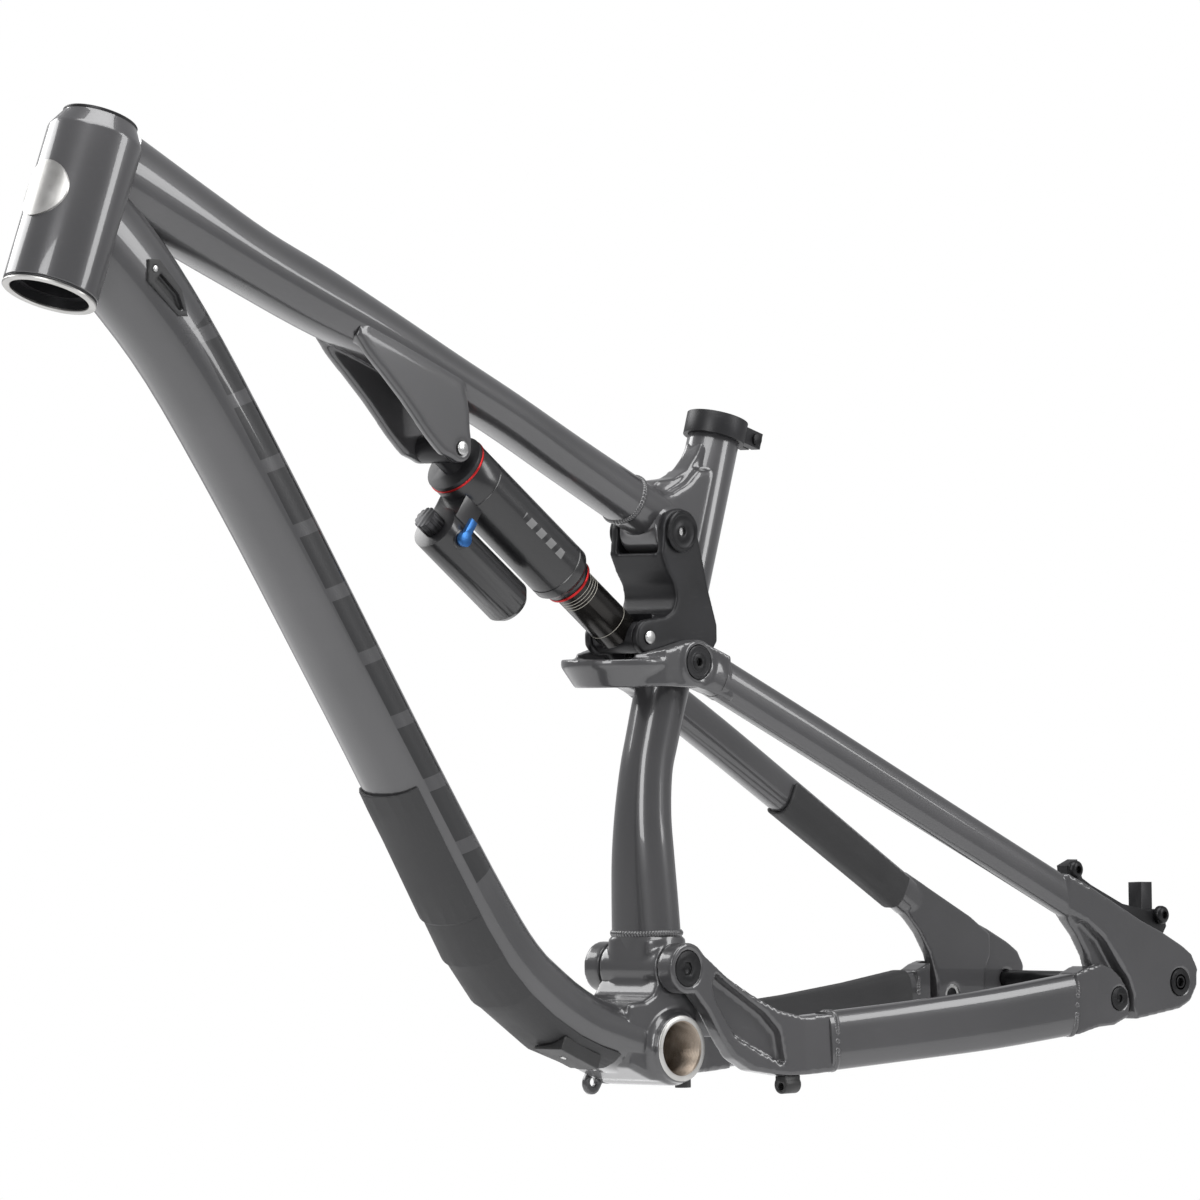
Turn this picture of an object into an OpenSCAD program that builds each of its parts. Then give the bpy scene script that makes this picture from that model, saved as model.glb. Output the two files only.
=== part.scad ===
// Full-suspension mountain-bike frame with a four-bar rear end and an air shock.
// X points forward, Y to the rider's left, Z up. The origin is the centre of the bottom bracket.
// A point of the middle plane is written [x, z].

/* [Geometry] */
// Height of the head tube's top above the bottom bracket
stack = 608.5; // [604:0.5:612]
// Distance of the head tube's top ahead of the bottom bracket
reach = 477.5; // [474:0.5:480]
// Angle of the head tube from the ground line
head_angle = 67.4; // [66.8:0.1:68]
// Length of the head tube with both cup lips
head_tube_length = 122; // [119:1:125]
// Angle of the upper seat tube from the ground line
seat_angle = 72.2; // [71.8:0.1:72.6]
// Distance from the bottom bracket to the rear axle
chainstay_length = 442; // [438:1:446]
// Height of the rear axle above the bottom bracket
axle_rise = 28; // [25:1:31]

/* [Interfaces] */
// Width of the bottom bracket shell
shell_width = 73; // [73:1:77]
// Inner diameter of the bottom bracket shell
shell_bore = 34.8; // [33.6:0.1:35]
// Distance between the inner faces of the dropouts
hub_width = 148; // [146:1:148]
// Diameter of the rear axle
axle_diameter = 12; // [10:1:12]
// Inner diameter of the seat tube
seatpost_diameter = 30.9; // [30.4:0.1:31.6]
// Outer diameter of the seat tube
seat_tube_diameter = 34.9; // [34:0.1:35]
// Outer diameter of the lower headset bearing
lower_bearing_diameter = 52; // [51:0.1:52.2]
// Outer diameter of the upper headset bearing
upper_bearing_diameter = 41.8; // [41:0.1:42]

/* [Shock] */
// Distance between the shock's eyes at full length
shock_length = 210; // [209:1:211]
// Outer radius of the air can
can_radius = 21; // [20.5:0.5:22]
// Outer radius of the sliding tube
shaft_radius = 14.2; // [13:0.1:14.5]
// Radial play of the sliding tube in its seals
shaft_play = 0.06; // [0.03:0.01:0.09]

/* [Walls] */
// Wall of the frame's tubes
tube_wall = 2; // [1.8:0.1:2.4]
// Thickness of the rubber guards
guard_thickness = 2.5; // [2:0.5:3]
// Gap between faces that turn past each other
face_gap = 0.4; // [0.3:0.1:0.6]

/* [Hidden] */
$fn = 48;
sides = 20;
sheet_root = 1.5;
axle_radius = axle_diameter / 2;
axle_shoulder_radius = axle_radius + 0.4;
axle_thread_radius = axle_radius - 0.2;
axle_head_radius = 9.2;
axle_step = 4;
cut_size = 400;

// pivots of the middle plane
bb = [0, 0];
rear_axle_at = [-sqrt(pow(chainstay_length, 2) - pow(axle_rise, 2)), axle_rise];
horst_at = rear_axle_at + [61, -9];
main_pivot_at = [-3, 53];
rocker_pivot_at = [-18, 343];
seatstay_pivot_at = [-18.5, 256];
shock_low_at = [13, 273];
shock_up_at = shock_low_at + shock_length * [0.8, 0.6];

// head tube
head_dir = [-cos(head_angle), sin(head_angle)];
head_top = [reach, stack];
head_low = head_top - head_tube_length * head_dir;
head_radius = 31;
head_neck_radius = 24.5;
lip_low = 3;
lip_up = 2;

// seat tube
seat_dir = [-cos(seat_angle), sin(seat_angle)];
seat_top = [-81.5, 419];
seat_joint_z = 244;
seat_upper_length = (seat_top[1] - seat_joint_z) / seat_dir[1];
seat_joint = seat_top - seat_upper_length * seat_dir;
seat_radius = seat_tube_diameter / 2;

// widths from the middle plane
main_eye_in = 27;
main_eye_out = 41;
rocker_in = 18.8;
rocker_out = 25;
stay_out = 40;
horst_face = 78;
horst_out = 86.5;
drop_out = 88;
ear_in = 13.5;
ear_out = 21;

// radii of eyes, bolts and bearings
shell_radius = 21.9;
collar_radius = 23;
clamp_radius = 20.8;
clamp_height = 15;
main_eye_radius = 17;
main_axle_radius = 7.5;
main_bolt_radius = 12;
main_bearing_radius = 14;
rocker_eye_radius = 15.5;
rocker_axle_radius = 6;
rocker_cap_radius = 14;
rocker_bearing_radius = 11;
stay_eye_radius = 15;
chip_radius = 11.2;
stay_bolt_radius = 6;
horst_bolt_radius = 5;
horst_bearing_radius = 9.5;
shock_bolt_radius = 3.4;
shock_head_radius = 4.5;
pin_play = 0.05;
guide_circle = 28;
guide_tab_radius = 7.5;
guide_angles = [-56, 64, 184];

// stations of the swept tubes: [x, y, z, half width, half height]
down_path = [
    [508, 0, 556, 24, 34], [455, 0, 508, 25, 31], [409, 0, 456, 26, 27], [346, 0, 369, 26.5, 24],
    [284, 0, 278, 27, 22.5], [222, 0, 186, 28, 21.5], [160, 0, 93.5, 29, 24], [124, 0, 52, 29.5, 24],
    [80, 0, 23, 30, 23], [46, 0, 10.5, 30, 22], [20, 0, 4, 30, 22]];
top_path = [
    [508, 0, 594, 22, 29], [461, 0, 572.5, 22, 27.5], [405, 0, 545.5, 22, 24.5], [351, 0, 520.5, 21.5, 22],
    [295, 0, 497, 21, 21.3], [235, 0, 472, 21, 18], [180, 0, 447.5, 20.5, 16], [124, 0, 422, 20, 15.2],
    [66, 0, 393, 18.4, 15.8], [9, 0, 365, 17.8, 16.6], [-25, 0, 349, 17, 17]];
seat_path = [
    [seat_joint[0] - 1.5, 0, seat_joint[1] + 4.8, 17.45, 17.45],
    [seat_joint[0] + 4.8, 0, seat_joint[1] - 15, 17.4, 17.4], [-12.9, 0, 204, 17.2, 17],
    [-7.2, 0, 184, 17.6, 16.6], [-3.5, 0, 155, 19.6, 17.2], [-3, 0, 126, 22.4, 18.2],
    [-4, 0, 97, 24.3, 18.6], [-5.3, 0, 66, 26, 18.5]];
seat_foot_z = 73;
chain_path = [
    [-120, 49.1, -0.5, 9, 20], [-200, 57.5, 4, 8.5, 20], [-270, 66.5, 9, 8.5, 20.5],
    [-346, 75, 16.6, 8.5, 21]];
chain_front = -127;
chain_back = -340;
leg_path = [
    [-36, 35.6, 247.1, 9, 13.8], [-120, 45.5, 204, 9, 13.8], [-200, 56, 162, 8.5, 13.5],
    [-280, 67, 120, 8.5, 13], [-342, 75.5, 87.3, 8, 13]];
leg_front = -44;
leg_back = -334;

// ---- helpers ----

// a round bar along Y through a point of the middle plane, from y0 to y1
module pin(p, r, y0, y1) {
    translate([p[0], y0, p[1]]) rotate([-90, 0, 0]) cylinder(r = r, h = y1 - y0);
}

// a flat [x, z] outline made solid from y0 to y1
module plate(y0, y1) {
    translate([0, y1, 0]) rotate([90, 0, 0]) linear_extrude(height = y1 - y0) children();
}

// a flat [x, y] outline made solid over the whole height
module plan(points) {
    translate([0, 0, -cut_size]) linear_extrude(height = 2 * cut_size) polygon(points);
}

// everything ahead of x, or behind it
module beyond(x, behind = false) {
    translate([behind ? x - 2 * cut_size : x, -cut_size, -cut_size]) cube(2 * cut_size);
}

// the same thing on both sides of the bike
module both_sides() {
    children();
    mirror([0, 1, 0]) children();
}

module left_or_right(right) {
    if (right) mirror([0, 1, 0]) children();
    else children();
}

// Z runs up a tube that leans in the middle plane, from its lower end
module leaning(p, dir) {
    translate([p[0], 0, p[1]]) rotate([0, atan2(dir[0], dir[1]), 0]) children();
}

// Z runs down the shock from the upper eye, and X points to its rear side
module along_shock() {
    leaning(shock_up_at, (shock_low_at - shock_up_at) / shock_length) children();
}

function unit(v) = v / norm(v);
function signed_power(v, e) = sign(v) * pow(abs(v), e);

// Catmull-Rom blend of four stations
function blend_four(a, b, c, d, t) = 0.5 * (2 * b + (c - a) * t + (2 * a - 5 * b + 4 * c - d) * t * t
    + (3 * b - a - 3 * c + d) * t * t * t);

// stations with n steps between each two given ones
function smooth_path(path, n) = let (last = len(path) - 1) [
    for (i = [0:last - 1]) for (k = [0:n - 1])
        blend_four(path[max(i - 1, 0)], path[i], path[i + 1], path[min(i + 2, last)], k / n),
    path[last]];

function place_of(s) = [s[0], s[1], s[2]];
function heading(path, i) =
    unit(place_of(path[min(i + 1, len(path) - 1)]) - place_of(path[max(i - 1, 0)]));

// one point of a superellipse section; round_power below 1 makes the section boxier
function section_point(s, dir, a, grow, round_power) =
    let (side = unit([0, 1, 0] - dir[1] * dir), up = cross(dir, side))
    place_of(s) + side * (s[3] + grow) * signed_power(cos(a), round_power)
        + up * (s[4] + grow) * signed_power(sin(a), round_power);

// one ring of points for each station
function skin(path, grow, round_power) = [
    for (i = [0:len(path) - 1]) let (dir = heading(path, i)) for (k = [0:sides - 1])
        section_point(path[i], dir, 360 * (k + 0.5) / sides, grow, round_power)];

function wall_faces(rings, first, outward) = [
    for (i = [0:rings - 2]) for (k = [0:sides - 1])
        let (a = first + i * sides + k, b = first + i * sides + (k + 1) % sides)
        for (f = [[a, a + sides, b], [b, a + sides, b + sides]])
            outward ? f : [f[0], f[2], f[1]]];

// a solid bar swept along the path
module swept_bar(path, grow = 0, round_power = 0.8, n = 2) {
    fine = smooth_path(path, n);
    rings = len(fine);
    polyhedron(
        points = skin(fine, grow, round_power),
        faces = concat(wall_faces(rings, 0, true),
            [[for (k = [0:sides - 1]) k]],
            [[for (k = [sides - 1:-1:0]) (rings - 1) * sides + k]]));
}

// a hollow tube swept along the path, open at both ends
module swept_tube(path, wall = tube_wall, round_power = 0.8, n = 2) {
    fine = smooth_path(path, n);
    rings = len(fine);
    inner = rings * sides;
    polyhedron(
        points = concat(skin(fine, 0, round_power), skin(fine, -wall, round_power)),
        faces = concat(wall_faces(rings, 0, true), wall_faces(rings, inner, false),
            [for (k = [0:sides - 1]) let (m = (k + 1) % sides)
                for (f = [[k, m, inner + k], [m, inner + m, inner + k]]) f],
            [for (k = [0:sides - 1]) let (m = (k + 1) % sides, e = (rings - 1) * sides)
                for (f = [[e + k, inner + e + k, e + m], [e + m, inner + e + k, inner + e + m]]) f]));
}

// a sheet on part of a tube's skin, from side number k0 to k1; it reaches into the tube by sheet_root
module swept_sheet(path, k0, k1, thick, round_power = 0.8, n = 2) {
    fine = smooth_path(path, n);
    rings = len(fine);
    cols = k1 - k0 + 1;
    inner = rings * cols;
    function sheet(grow) = [
        for (i = [0:rings - 1]) let (dir = heading(fine, i)) for (k = [k0:k1])
            section_point(fine[i], dir, 360 * (k + 0.5) / sides, grow, round_power)];
    polyhedron(
        points = concat(sheet(thick), sheet(-sheet_root)),
        faces = concat(
            [for (i = [0:rings - 2]) for (k = [0:cols - 2]) let (a = i * cols + k)
                for (f = [[a, a + cols, a + 1], [a + 1, a + cols, a + cols + 1]]) f],
            [for (i = [0:rings - 2]) for (k = [0:cols - 2]) let (a = inner + i * cols + k)
                for (f = [[a, a + 1, a + cols], [a + 1, a + cols + 1, a + cols]]) f],
            [for (i = [0:rings - 2]) let (a = i * cols, b = inner + i * cols)
                for (f = [[a, b, a + cols], [b, b + cols, a + cols]]) f],
            [for (i = [0:rings - 2]) let (a = i * cols + cols - 1, b = inner + i * cols + cols - 1)
                for (f = [[a, a + cols, b], [b, a + cols, b + cols]]) f],
            [for (k = [0:cols - 2]) let (a = k, b = inner + k)
                for (f = [[a, a + 1, b], [a + 1, b + 1, b]]) f],
            [for (k = [0:cols - 2]) let (a = (rings - 1) * cols + k, b = inner + (rings - 1) * cols + k)
                for (f = [[a, b, a + 1], [a + 1, b, b + 1]]) f]));
}

paint = "dimgray";

// ---- front triangle ----

// the space of the head tube and everything ahead of it
module head_space() {
    leaning(head_low, head_dir) {
        cylinder(r = head_radius, h = cut_size);
        translate([0, -cut_size / 2, -cut_size / 2]) cube(cut_size);
    }
}

module head_tube() {
    bevel = 13;
    seat_depth = 12;
    color(paint) leaning(head_low, head_dir) difference() {
        union() {
            translate([0, 0, lip_low]) cylinder(r = head_radius, h = head_tube_length - lip_low - bevel);
            translate([0, 0, head_tube_length - bevel])
                cylinder(r1 = head_radius, r2 = head_neck_radius, h = bevel - lip_up);
        }
        cylinder(r = 23, h = head_tube_length);
        translate([0, 0, lip_low - 1]) cylinder(r = 28, h = seat_depth + 1);
    }
}

module lower_headset_cup() {
    color("silver") leaning(head_low, head_dir) difference() {
        union() {
            cylinder(r = head_radius, h = lip_low);
            translate([0, 0, lip_low]) cylinder(r = 28, h = 11);
        }
        translate([0, 0, -1]) cylinder(r = 21, h = 20);
        translate([0, 0, -1]) cylinder(r = lower_bearing_diameter / 2, h = 8.5);
    }
}

module upper_headset_cup() {
    depth = 10;
    color("black") leaning(head_low, head_dir) difference() {
        union() {
            translate([0, 0, head_tube_length - lip_up]) cylinder(r = head_neck_radius, h = lip_up);
            translate([0, 0, head_tube_length - lip_up - depth]) cylinder(r = 23, h = depth);
        }
        translate([0, 0, head_tube_length - 20]) cylinder(r = 18, h = 30);
        translate([0, 0, head_tube_length - 8]) cylinder(r = upper_bearing_diameter / 2, h = 10);
    }
}

// a plain round plate wrapped on the front of the head tube
module head_badge() {
    badge_radius = 19;
    badge_thickness = 1.2;
    badge_height = 61;
    color("silver") leaning(head_low, head_dir) intersection() {
        difference() {
            cylinder(r = head_radius + badge_thickness, h = head_tube_length);
            translate([0, 0, -1]) cylinder(r = head_radius, h = head_tube_length + 2);
        }
        translate([0, 0, badge_height]) rotate([0, 90, 0]) cylinder(r = badge_radius, h = 60);
    }
}

// the space of the upper seat tube; behind = true adds everything behind it
module seat_tube_space(behind = false) {
    leaning(seat_joint, seat_dir) {
        cylinder(r = seat_radius, h = seat_upper_length);
        if (behind) translate([-cut_size, -cut_size / 2, 0]) cube(cut_size);
    }
}

module top_tube() {
    color(paint) difference() {
        swept_tube(top_path);
        head_space();
        seat_tube_space(true);
        pin(rocker_pivot_at, rocker_eye_radius, -19, 19);
    }
}

module shock_mount_yoke() {
    color(paint) both_sides() difference() {
        plate(ear_in, ear_out) union() {
            translate(shock_up_at) circle(r = 10);
            polygon([[171, 400], [173, 428], [178, 441], [236, 466], [272, 480], [274, 472], [264, 460],
                [250, 447], [232, 430], [211, 407], [198, 395], [188, 391.5]]);
        }
        pin(shock_up_at, shock_bolt_radius, 0, 50);
        swept_bar(top_path);
    }
}

// the block that the cable port cover is let into
module port_outline() {
    polygon([[462, 519], [453, 519], [434, 500], [429, 483], [437, 483], [463, 505]]);
}

// the web that closes the narrow space between the two main tubes
module throat_web() {
    difference() {
        plate(-17, 17) polygon([[475, 560], [430, 535], [401, 518.5], [399.5, 515], [396, 500], [391, 480],
            [410, 470], [475, 505]]);
        swept_bar(down_path, -1);
    }
}

module down_tube() {
    color(paint) difference() {
        union() {
            swept_tube(down_path, tube_wall + 0.5);
            throat_web();
        }
        head_space();
        swept_bar(top_path);
        translate([42 - cut_size, -cut_size / 2, -cut_size / 2]) cube(cut_size);
        both_sides() plate(20, 60) port_outline();
    }
}

module upper_seat_tube() {
    color(paint) leaning(seat_joint, seat_dir) difference() {
        cylinder(r = seat_radius, h = seat_upper_length);
        translate([0, 0, -1]) cylinder(r = seatpost_diameter / 2, h = seat_upper_length + 2);
        translate([-30, -1, seat_upper_length - 25]) cube([30, 2, 40]);
    }
}

module lower_seat_tube() {
    color(paint) difference() {
        swept_tube(seat_path, tube_wall, 0.85, 3);
        leaning(seat_joint, seat_dir) cylinder(r = 30, h = 30);
        translate([-cut_size / 2, -cut_size / 2, seat_foot_z - cut_size]) cube(cut_size);
    }
}

module seat_tube_gusset() {
    color(paint) difference() {
        union() {
            plate(-8, 8) polygon([[-6, 371], [-15.3, 377.4], [-31.1, 378.8], [-44.2, 384.8],
                [-53.1, 393.8], [-58.3, 402.8], [-70, 405], [-50, 322], [-18, 322]]);
            plate(-15, 15) polygon([[-8, 366], [-22, 369], [-36, 375], [-47, 384], [-70, 384], [-50, 322],
                [-18, 322]]);
        }
        seat_tube_space(true);
        pin(rocker_pivot_at, rocker_eye_radius, -19, 19);
        swept_bar(top_path);
        leaning(seat_joint, seat_dir) translate([0, 0, seat_upper_length - clamp_height])
            cylinder(r = clamp_radius + 0.5, h = 30);
    }
}

// a rectangle with round corners, given by its half sides
module rounded_plan(half_x, half_y, corner) {
    square([2 * half_x, 2 * (half_y - corner)], center = true);
    square([2 * (half_x - corner), 2 * half_y], center = true);
    for (sx = [-1, 1]) for (sy = [-1, 1])
        translate([sx * (half_x - corner), sy * (half_y - corner)]) circle(r = corner);
}

module bb_forging() {
    color(paint) difference() {
        union() {
            pin(bb, 25, -31, 31);
            pin(bb, collar_radius, -shell_width / 2 + face_gap, shell_width / 2 - face_gap);
            plate(-28.5, 28.5) polygon([[42, 31], [42, -11], [20, -20.5], [0, -23.5], [-12, -22], [-24, 12],
                [-22, 34], [13, 43], [17, 36], [26, 32]]);
            translate([-5.3, 0, 20]) linear_extrude(height = seat_foot_z - 20) rounded_plan(18.5, 26, 14);
        }
        pin(bb, shell_radius, -50, 50);
        pin(main_pivot_at, main_eye_radius, -50, 50);
        both_sides() pin(main_pivot_at, main_eye_radius + face_gap, main_eye_in, 50);
    }
}

module bb_shell() {
    color("silver") difference() {
        pin(bb, shell_radius, -shell_width / 2, shell_width / 2);
        pin(bb, shell_bore / 2, -shell_width, shell_width);
    }
}

module main_pivot_housing() {
    pocket = 8;
    color(paint) difference() {
        pin(main_pivot_at, main_eye_radius, -main_eye_in, main_eye_in);
        pin(main_pivot_at, main_bearing_radius - 2, -50, 50);
        both_sides() pin(main_pivot_at, main_bearing_radius, main_eye_in - pocket, 50);
    }
}

module main_pivot_bearings() {
    color("silver") both_sides() difference() {
        pin(main_pivot_at, main_bearing_radius, main_eye_in - 8, main_eye_in);
        pin(main_pivot_at, main_axle_radius + pin_play, 0, 50);
    }
}

module rocker_pivot_housing() {
    color(paint) difference() {
        pin(rocker_pivot_at, rocker_eye_radius, -rocker_in + face_gap, rocker_in - face_gap);
        pin(rocker_pivot_at, rocker_axle_radius, -50, 50);
        seat_tube_space();
    }
}

module rocker_axle() {
    color("gray") pin(rocker_pivot_at, rocker_axle_radius, -rocker_out - face_gap, rocker_out + face_gap);
}

module rocker_pivot_caps() {
    color("black") both_sides() difference() {
        pin(rocker_pivot_at, rocker_cap_radius, rocker_out + face_gap, rocker_out + 3);
        pin(rocker_pivot_at, 3, rocker_out + 1, 50);
    }
}

module shock_upper_bolt() {
    color("silver") {
        pin(shock_up_at, shock_bolt_radius, -ear_out, ear_out);
        both_sides() pin(shock_up_at, shock_head_radius, ear_out, ear_out + 1.2);
    }
}

// chain-guide tabs on the drive side
module iscg_mount() {
    color(paint) mirror([0, 1, 0]) difference() {
        plate(31, 35) union() {
            circle(r = 25);
            for (a = guide_angles) rotate(a) {
                translate([0, -guide_tab_radius]) square([guide_circle + 1, 2 * guide_tab_radius]);
                translate([guide_circle + 1, 0]) circle(r = guide_tab_radius);
            }
        }
        for (a = guide_angles) pin(guide_circle * [cos(a), sin(a)], 3, 0, 60);
        pin(bb, collar_radius, 0, 60);
    }
}

// the rubber guard covers the lower half of the lower down tube
module down_tube_guard() {
    guard_path = [for (i = [5:9]) down_path[i]];
    color("black") difference() {
        swept_sheet(guard_path, 1, 8, guard_thickness);
        swept_bar(down_path);
    }
}

module cable_port_covers() {
    color("black") both_sides() difference() {
        plate(20, 26.5) port_outline();
        plate(23, 50) polygon([[452, 510], [437, 497], [432, 486], [437, 487], [457, 505]]);
        pin([457, 513], 2, 22, 50);
    }
}

// Z runs along the down tube where the cables come out, and X points into the tube
module at_cable_exit() {
    leaning([74, 20.6], [-0.92, -0.39]) children();
}

module cable_exit_cover() {
    color("black") difference() {
        at_cable_exit() translate([-27.2, 0, -20]) cube([10, 26, 37]);
        swept_bar(down_path, guard_thickness);
        at_cable_exit() translate([-40, 13, -4]) rotate([0, 90, 0]) cylinder(r = 2, h = 20);
    }
}

module cable_cover_screws() {
    color("silver") {
        both_sides() pin([457, 513], 2, 22, 27.2);
        at_cable_exit() translate([-27.7, 13, -4]) rotate([0, 90, 0]) cylinder(r = 2, h = 2.5);
    }
}

module drain_plug() {
    color("black") difference() {
        translate([-15.5, 21.5, -27]) cylinder(r = 5.3, h = 12);
        pin(bb, 25, -31, 31);
    }
}

module seat_clamp() {
    height = clamp_height;
    color("black") leaning(seat_joint, seat_dir) translate([0, 0, seat_upper_length - height]) difference() {
        union() {
            cylinder(r = clamp_radius, h = height);
            translate([-36, -9, 4]) cube([20, 18, height - 4]);
        }
        translate([0, 0, -1]) cylinder(r = seat_radius, h = height + 2);
        translate([-50, -1.2, -1]) cube([35, 2.4, height + 2]);
        translate([-31, 0, 9.5]) rotate([90, 0, 0]) cylinder(r = 2.5, h = 60, center = true);
    }
}

module seat_clamp_bolt() {
    color("silver") leaning(seat_joint, seat_dir) translate([-31, 0, seat_upper_length - clamp_height + 9.5])
        rotate([-90, 0, 0]) {
            translate([0, 0, -9]) cylinder(r = 2.5, h = 18);
            translate([0, 0, 9]) cylinder(r = 4, h = 1.5);
        }
}

// ---- chainstay ----

function forging_outline() = [[-4, 69.5], [-16, 63], [-39, 46.5], [-59.5, 34], [-81, 22.5], [-100, 17.5],
    [-120, 18.5], [-138, 20.5], [-138, -19.5], [-112, -21.5], [-86, -22], [-60, -17.5], [-45, -8.5],
    [-33.5, 5.5], [-22, 22.5], [-8, 37]];

module chainstay_arm() {
    pocket = 8;
    // the outer face seen from above; moved in by depth for the pocket
    function outer(depth) = [[14, 41 - depth], [-40, 41 - depth], [-70, 46 - depth], [-100, 54 - depth],
        [-138, 59 - depth]];
    difference() {
        union() {
            pin(main_pivot_at, main_eye_radius, main_eye_in + face_gap, main_eye_out);
            intersection() {
                plate(20, 70) polygon(forging_outline());
                plan(concat(outer(0), [[-138, 42], [-100, 38], [-70, 31.5], [-40, 29], [14, 29]]));
            }
        }
        intersection() {
            plate(20, 70) polygon([[-29, 49], [-26, 41], [-28, 31.5], [-39, 16],
                [-47.5, 5.5], [-86, -15], [-82, 8], [-71, 20.5], [-50.5, 34.5]]);
            plan(concat(outer(pocket), [[-138, 90], [14, 90]]));
        }
        pin(main_pivot_at, main_axle_radius, -50, 100);
        pin(main_pivot_at, main_bolt_radius, main_eye_out - 5, 100);
    }
}

module chainstay_yoke() {
    color(paint) difference() {
        union() {
            both_sides() chainstay_arm();
            plate(-32, 32) polygon([[-46, 26], [-60, 30], [-66, 12], [-54, 4]]);
        }
        beyond(chain_front, true);
    }
}

module chainstay_tube(right) {
    color(paint) left_or_right(right) difference() {
        swept_tube(chain_path, tube_wall, 0.5, 1);
        beyond(chain_front);
        beyond(chain_back, true);
    }
}

module chainstay_end(right) {
    color(paint) left_or_right(right) difference() {
        union() {
            plate(66, 83) polygon([[chain_back, 37.5], [-350, 41], [-354, 42], [-354, -1],
                [chain_back, -4.5]]);
            intersection() {
                plate(horst_face + face_gap, horst_out) polygon([[-343, 38], [-350, 41], [-362, 43.5],
                    [-373, 40], [-382, 33.5], [-389, 24], [-391, 15], [-389, 6], [-375, 1], [-358, 0],
                    [-343, -4]]);
                plan([[-343, 70], [-343, 83.5], [-358, horst_out], [-400, horst_out], [-400, 70]]);
            }
        }
        pin(horst_at, horst_bolt_radius, 0, 200);
        pin(horst_at, 8, horst_out - 3, 200);
    }
}

module main_pivot_axle() {
    color("silver") pin(main_pivot_at, main_axle_radius, -main_eye_out + 5, main_eye_out - 5);
}

module main_pivot_bolts() {
    color("black") both_sides() difference() {
        pin(main_pivot_at, main_bolt_radius, main_eye_out - 5, main_eye_out - 0.5);
        translate([main_pivot_at[0], main_eye_out - 3, main_pivot_at[1]]) rotate([-90, 0, 0])
            cylinder(r = 4.6, h = 10, $fn = 6);
    }
}

module horst_bolts() {
    color("black") both_sides() {
        difference() {
            pin(horst_at, 8, horst_out - 3, horst_out + 0.5);
            translate([horst_at[0], horst_out - 2, horst_at[1]]) rotate([-90, 0, 0])
                cylinder(r = 3, h = 10, $fn = 6);
        }
        pin(horst_at, horst_bolt_radius, horst_face - 8, horst_out - 3);
    }
}

// rubber on the top and inner side of the drive-side stay
module chainstay_guard() {
    guard_path = [chain_path[0] + [-12, 1.3, 0.6, 0, 0], chain_path[1], chain_path[2],
        chain_path[3] + [14, -1.6, -1.5, 0, 0]];
    color("black") mirror([0, 1, 0]) difference() {
        swept_sheet(guard_path, 8, 17, guard_thickness, 0.5, 1);
        swept_bar(chain_path, 0, 0.5, 1);
    }
}

module cable_clip() {
    color("black") difference() {
        translate([-92, 45, 0]) {
            translate([-7, -5, -30]) cube([14, 10, 9]);
            translate([0, 0, -28]) rotate([0, 90, 0]) cylinder(r = 6, h = 14, center = true);
        }
        translate([-92, 45, -29]) rotate([0, 90, 0]) cylinder(r = 2.5, h = 20, center = true);
        plate(20, 70) polygon(forging_outline());
    }
}

// ---- seatstay ----

// the loop around the seat tube, seen from above
module yoke_plan(centre, r) {
    translate([centre, 0]) circle(r = r);
    translate([-32, -r]) square([centre + 32, 2 * r]);
}

module seatstay_yoke() {
    inner = rocker_out + 0.8;
    loop_centre = 18.5;
    loop_radius = 37.5;
    loop_low = 240;
    loop_edge = 254;
    color(paint) difference() {
        union() {
            difference() {
                union() {
                    translate([0, 0, loop_edge]) linear_extrude(height = 5)
                        yoke_plan(loop_centre, loop_radius);
                    translate([loop_centre, 0, loop_low])
                        cylinder(r1 = loop_radius - 9, r2 = loop_radius, h = loop_edge - loop_low);
                }
                translate([0, 0, 200]) linear_extrude(height = 100) yoke_plan(loop_centre - 3.5, inner + 0.2);
            }
            both_sides() {
                pin(seatstay_pivot_at, stay_eye_radius, inner, stay_out);
                intersection() {
                    plate(20, 60) polygon([[-12, 270], [-18, 271], [-30, 266.5], [leg_front, 259.5],
                        [leg_front, 229.5],
                        [-32, 235], [-20, 239], [10, 240.5], [32, 240.5], [32, 261.5], [20, 263.5],
                        [6, 266]]);
                    plan([[30, inner], [24, 33], [10, 37.5], [-16, 39], [-28, 41], [leg_front, 45.8],
                        [leg_front, 27], [-30, inner]]);
                }
            }
        }
        beyond(leg_front, true);
        translate([-100, -inner, 0]) cube([100 + loop_centre - 3.5, 2 * inner, 400]);
        both_sides() {
            pin(seatstay_pivot_at, stay_bolt_radius, 0, 100);
            pin(seatstay_pivot_at, chip_radius, stay_out - 8, 100);
        }
    }
}

module seatstay(right) {
    color(paint) left_or_right(right) difference() {
        swept_tube(leg_path, tube_wall, 0.7, 1);
        beyond(leg_front);
        beyond(leg_back, true);
    }
}

function dropout_outline() = [[leg_back, 106.5], [-400, 73], [-422, 64], [-443, 54], [-454, 47], [-460, 37],
    [-459, 25], [-452, 14.5], [-441, 9.5], [-396, 4], [-394, 12], [-394, 20], [-389, 31.5], [-379, 43.5],
    [-366, 60], [-350, 72], [leg_back, 80]];

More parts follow.
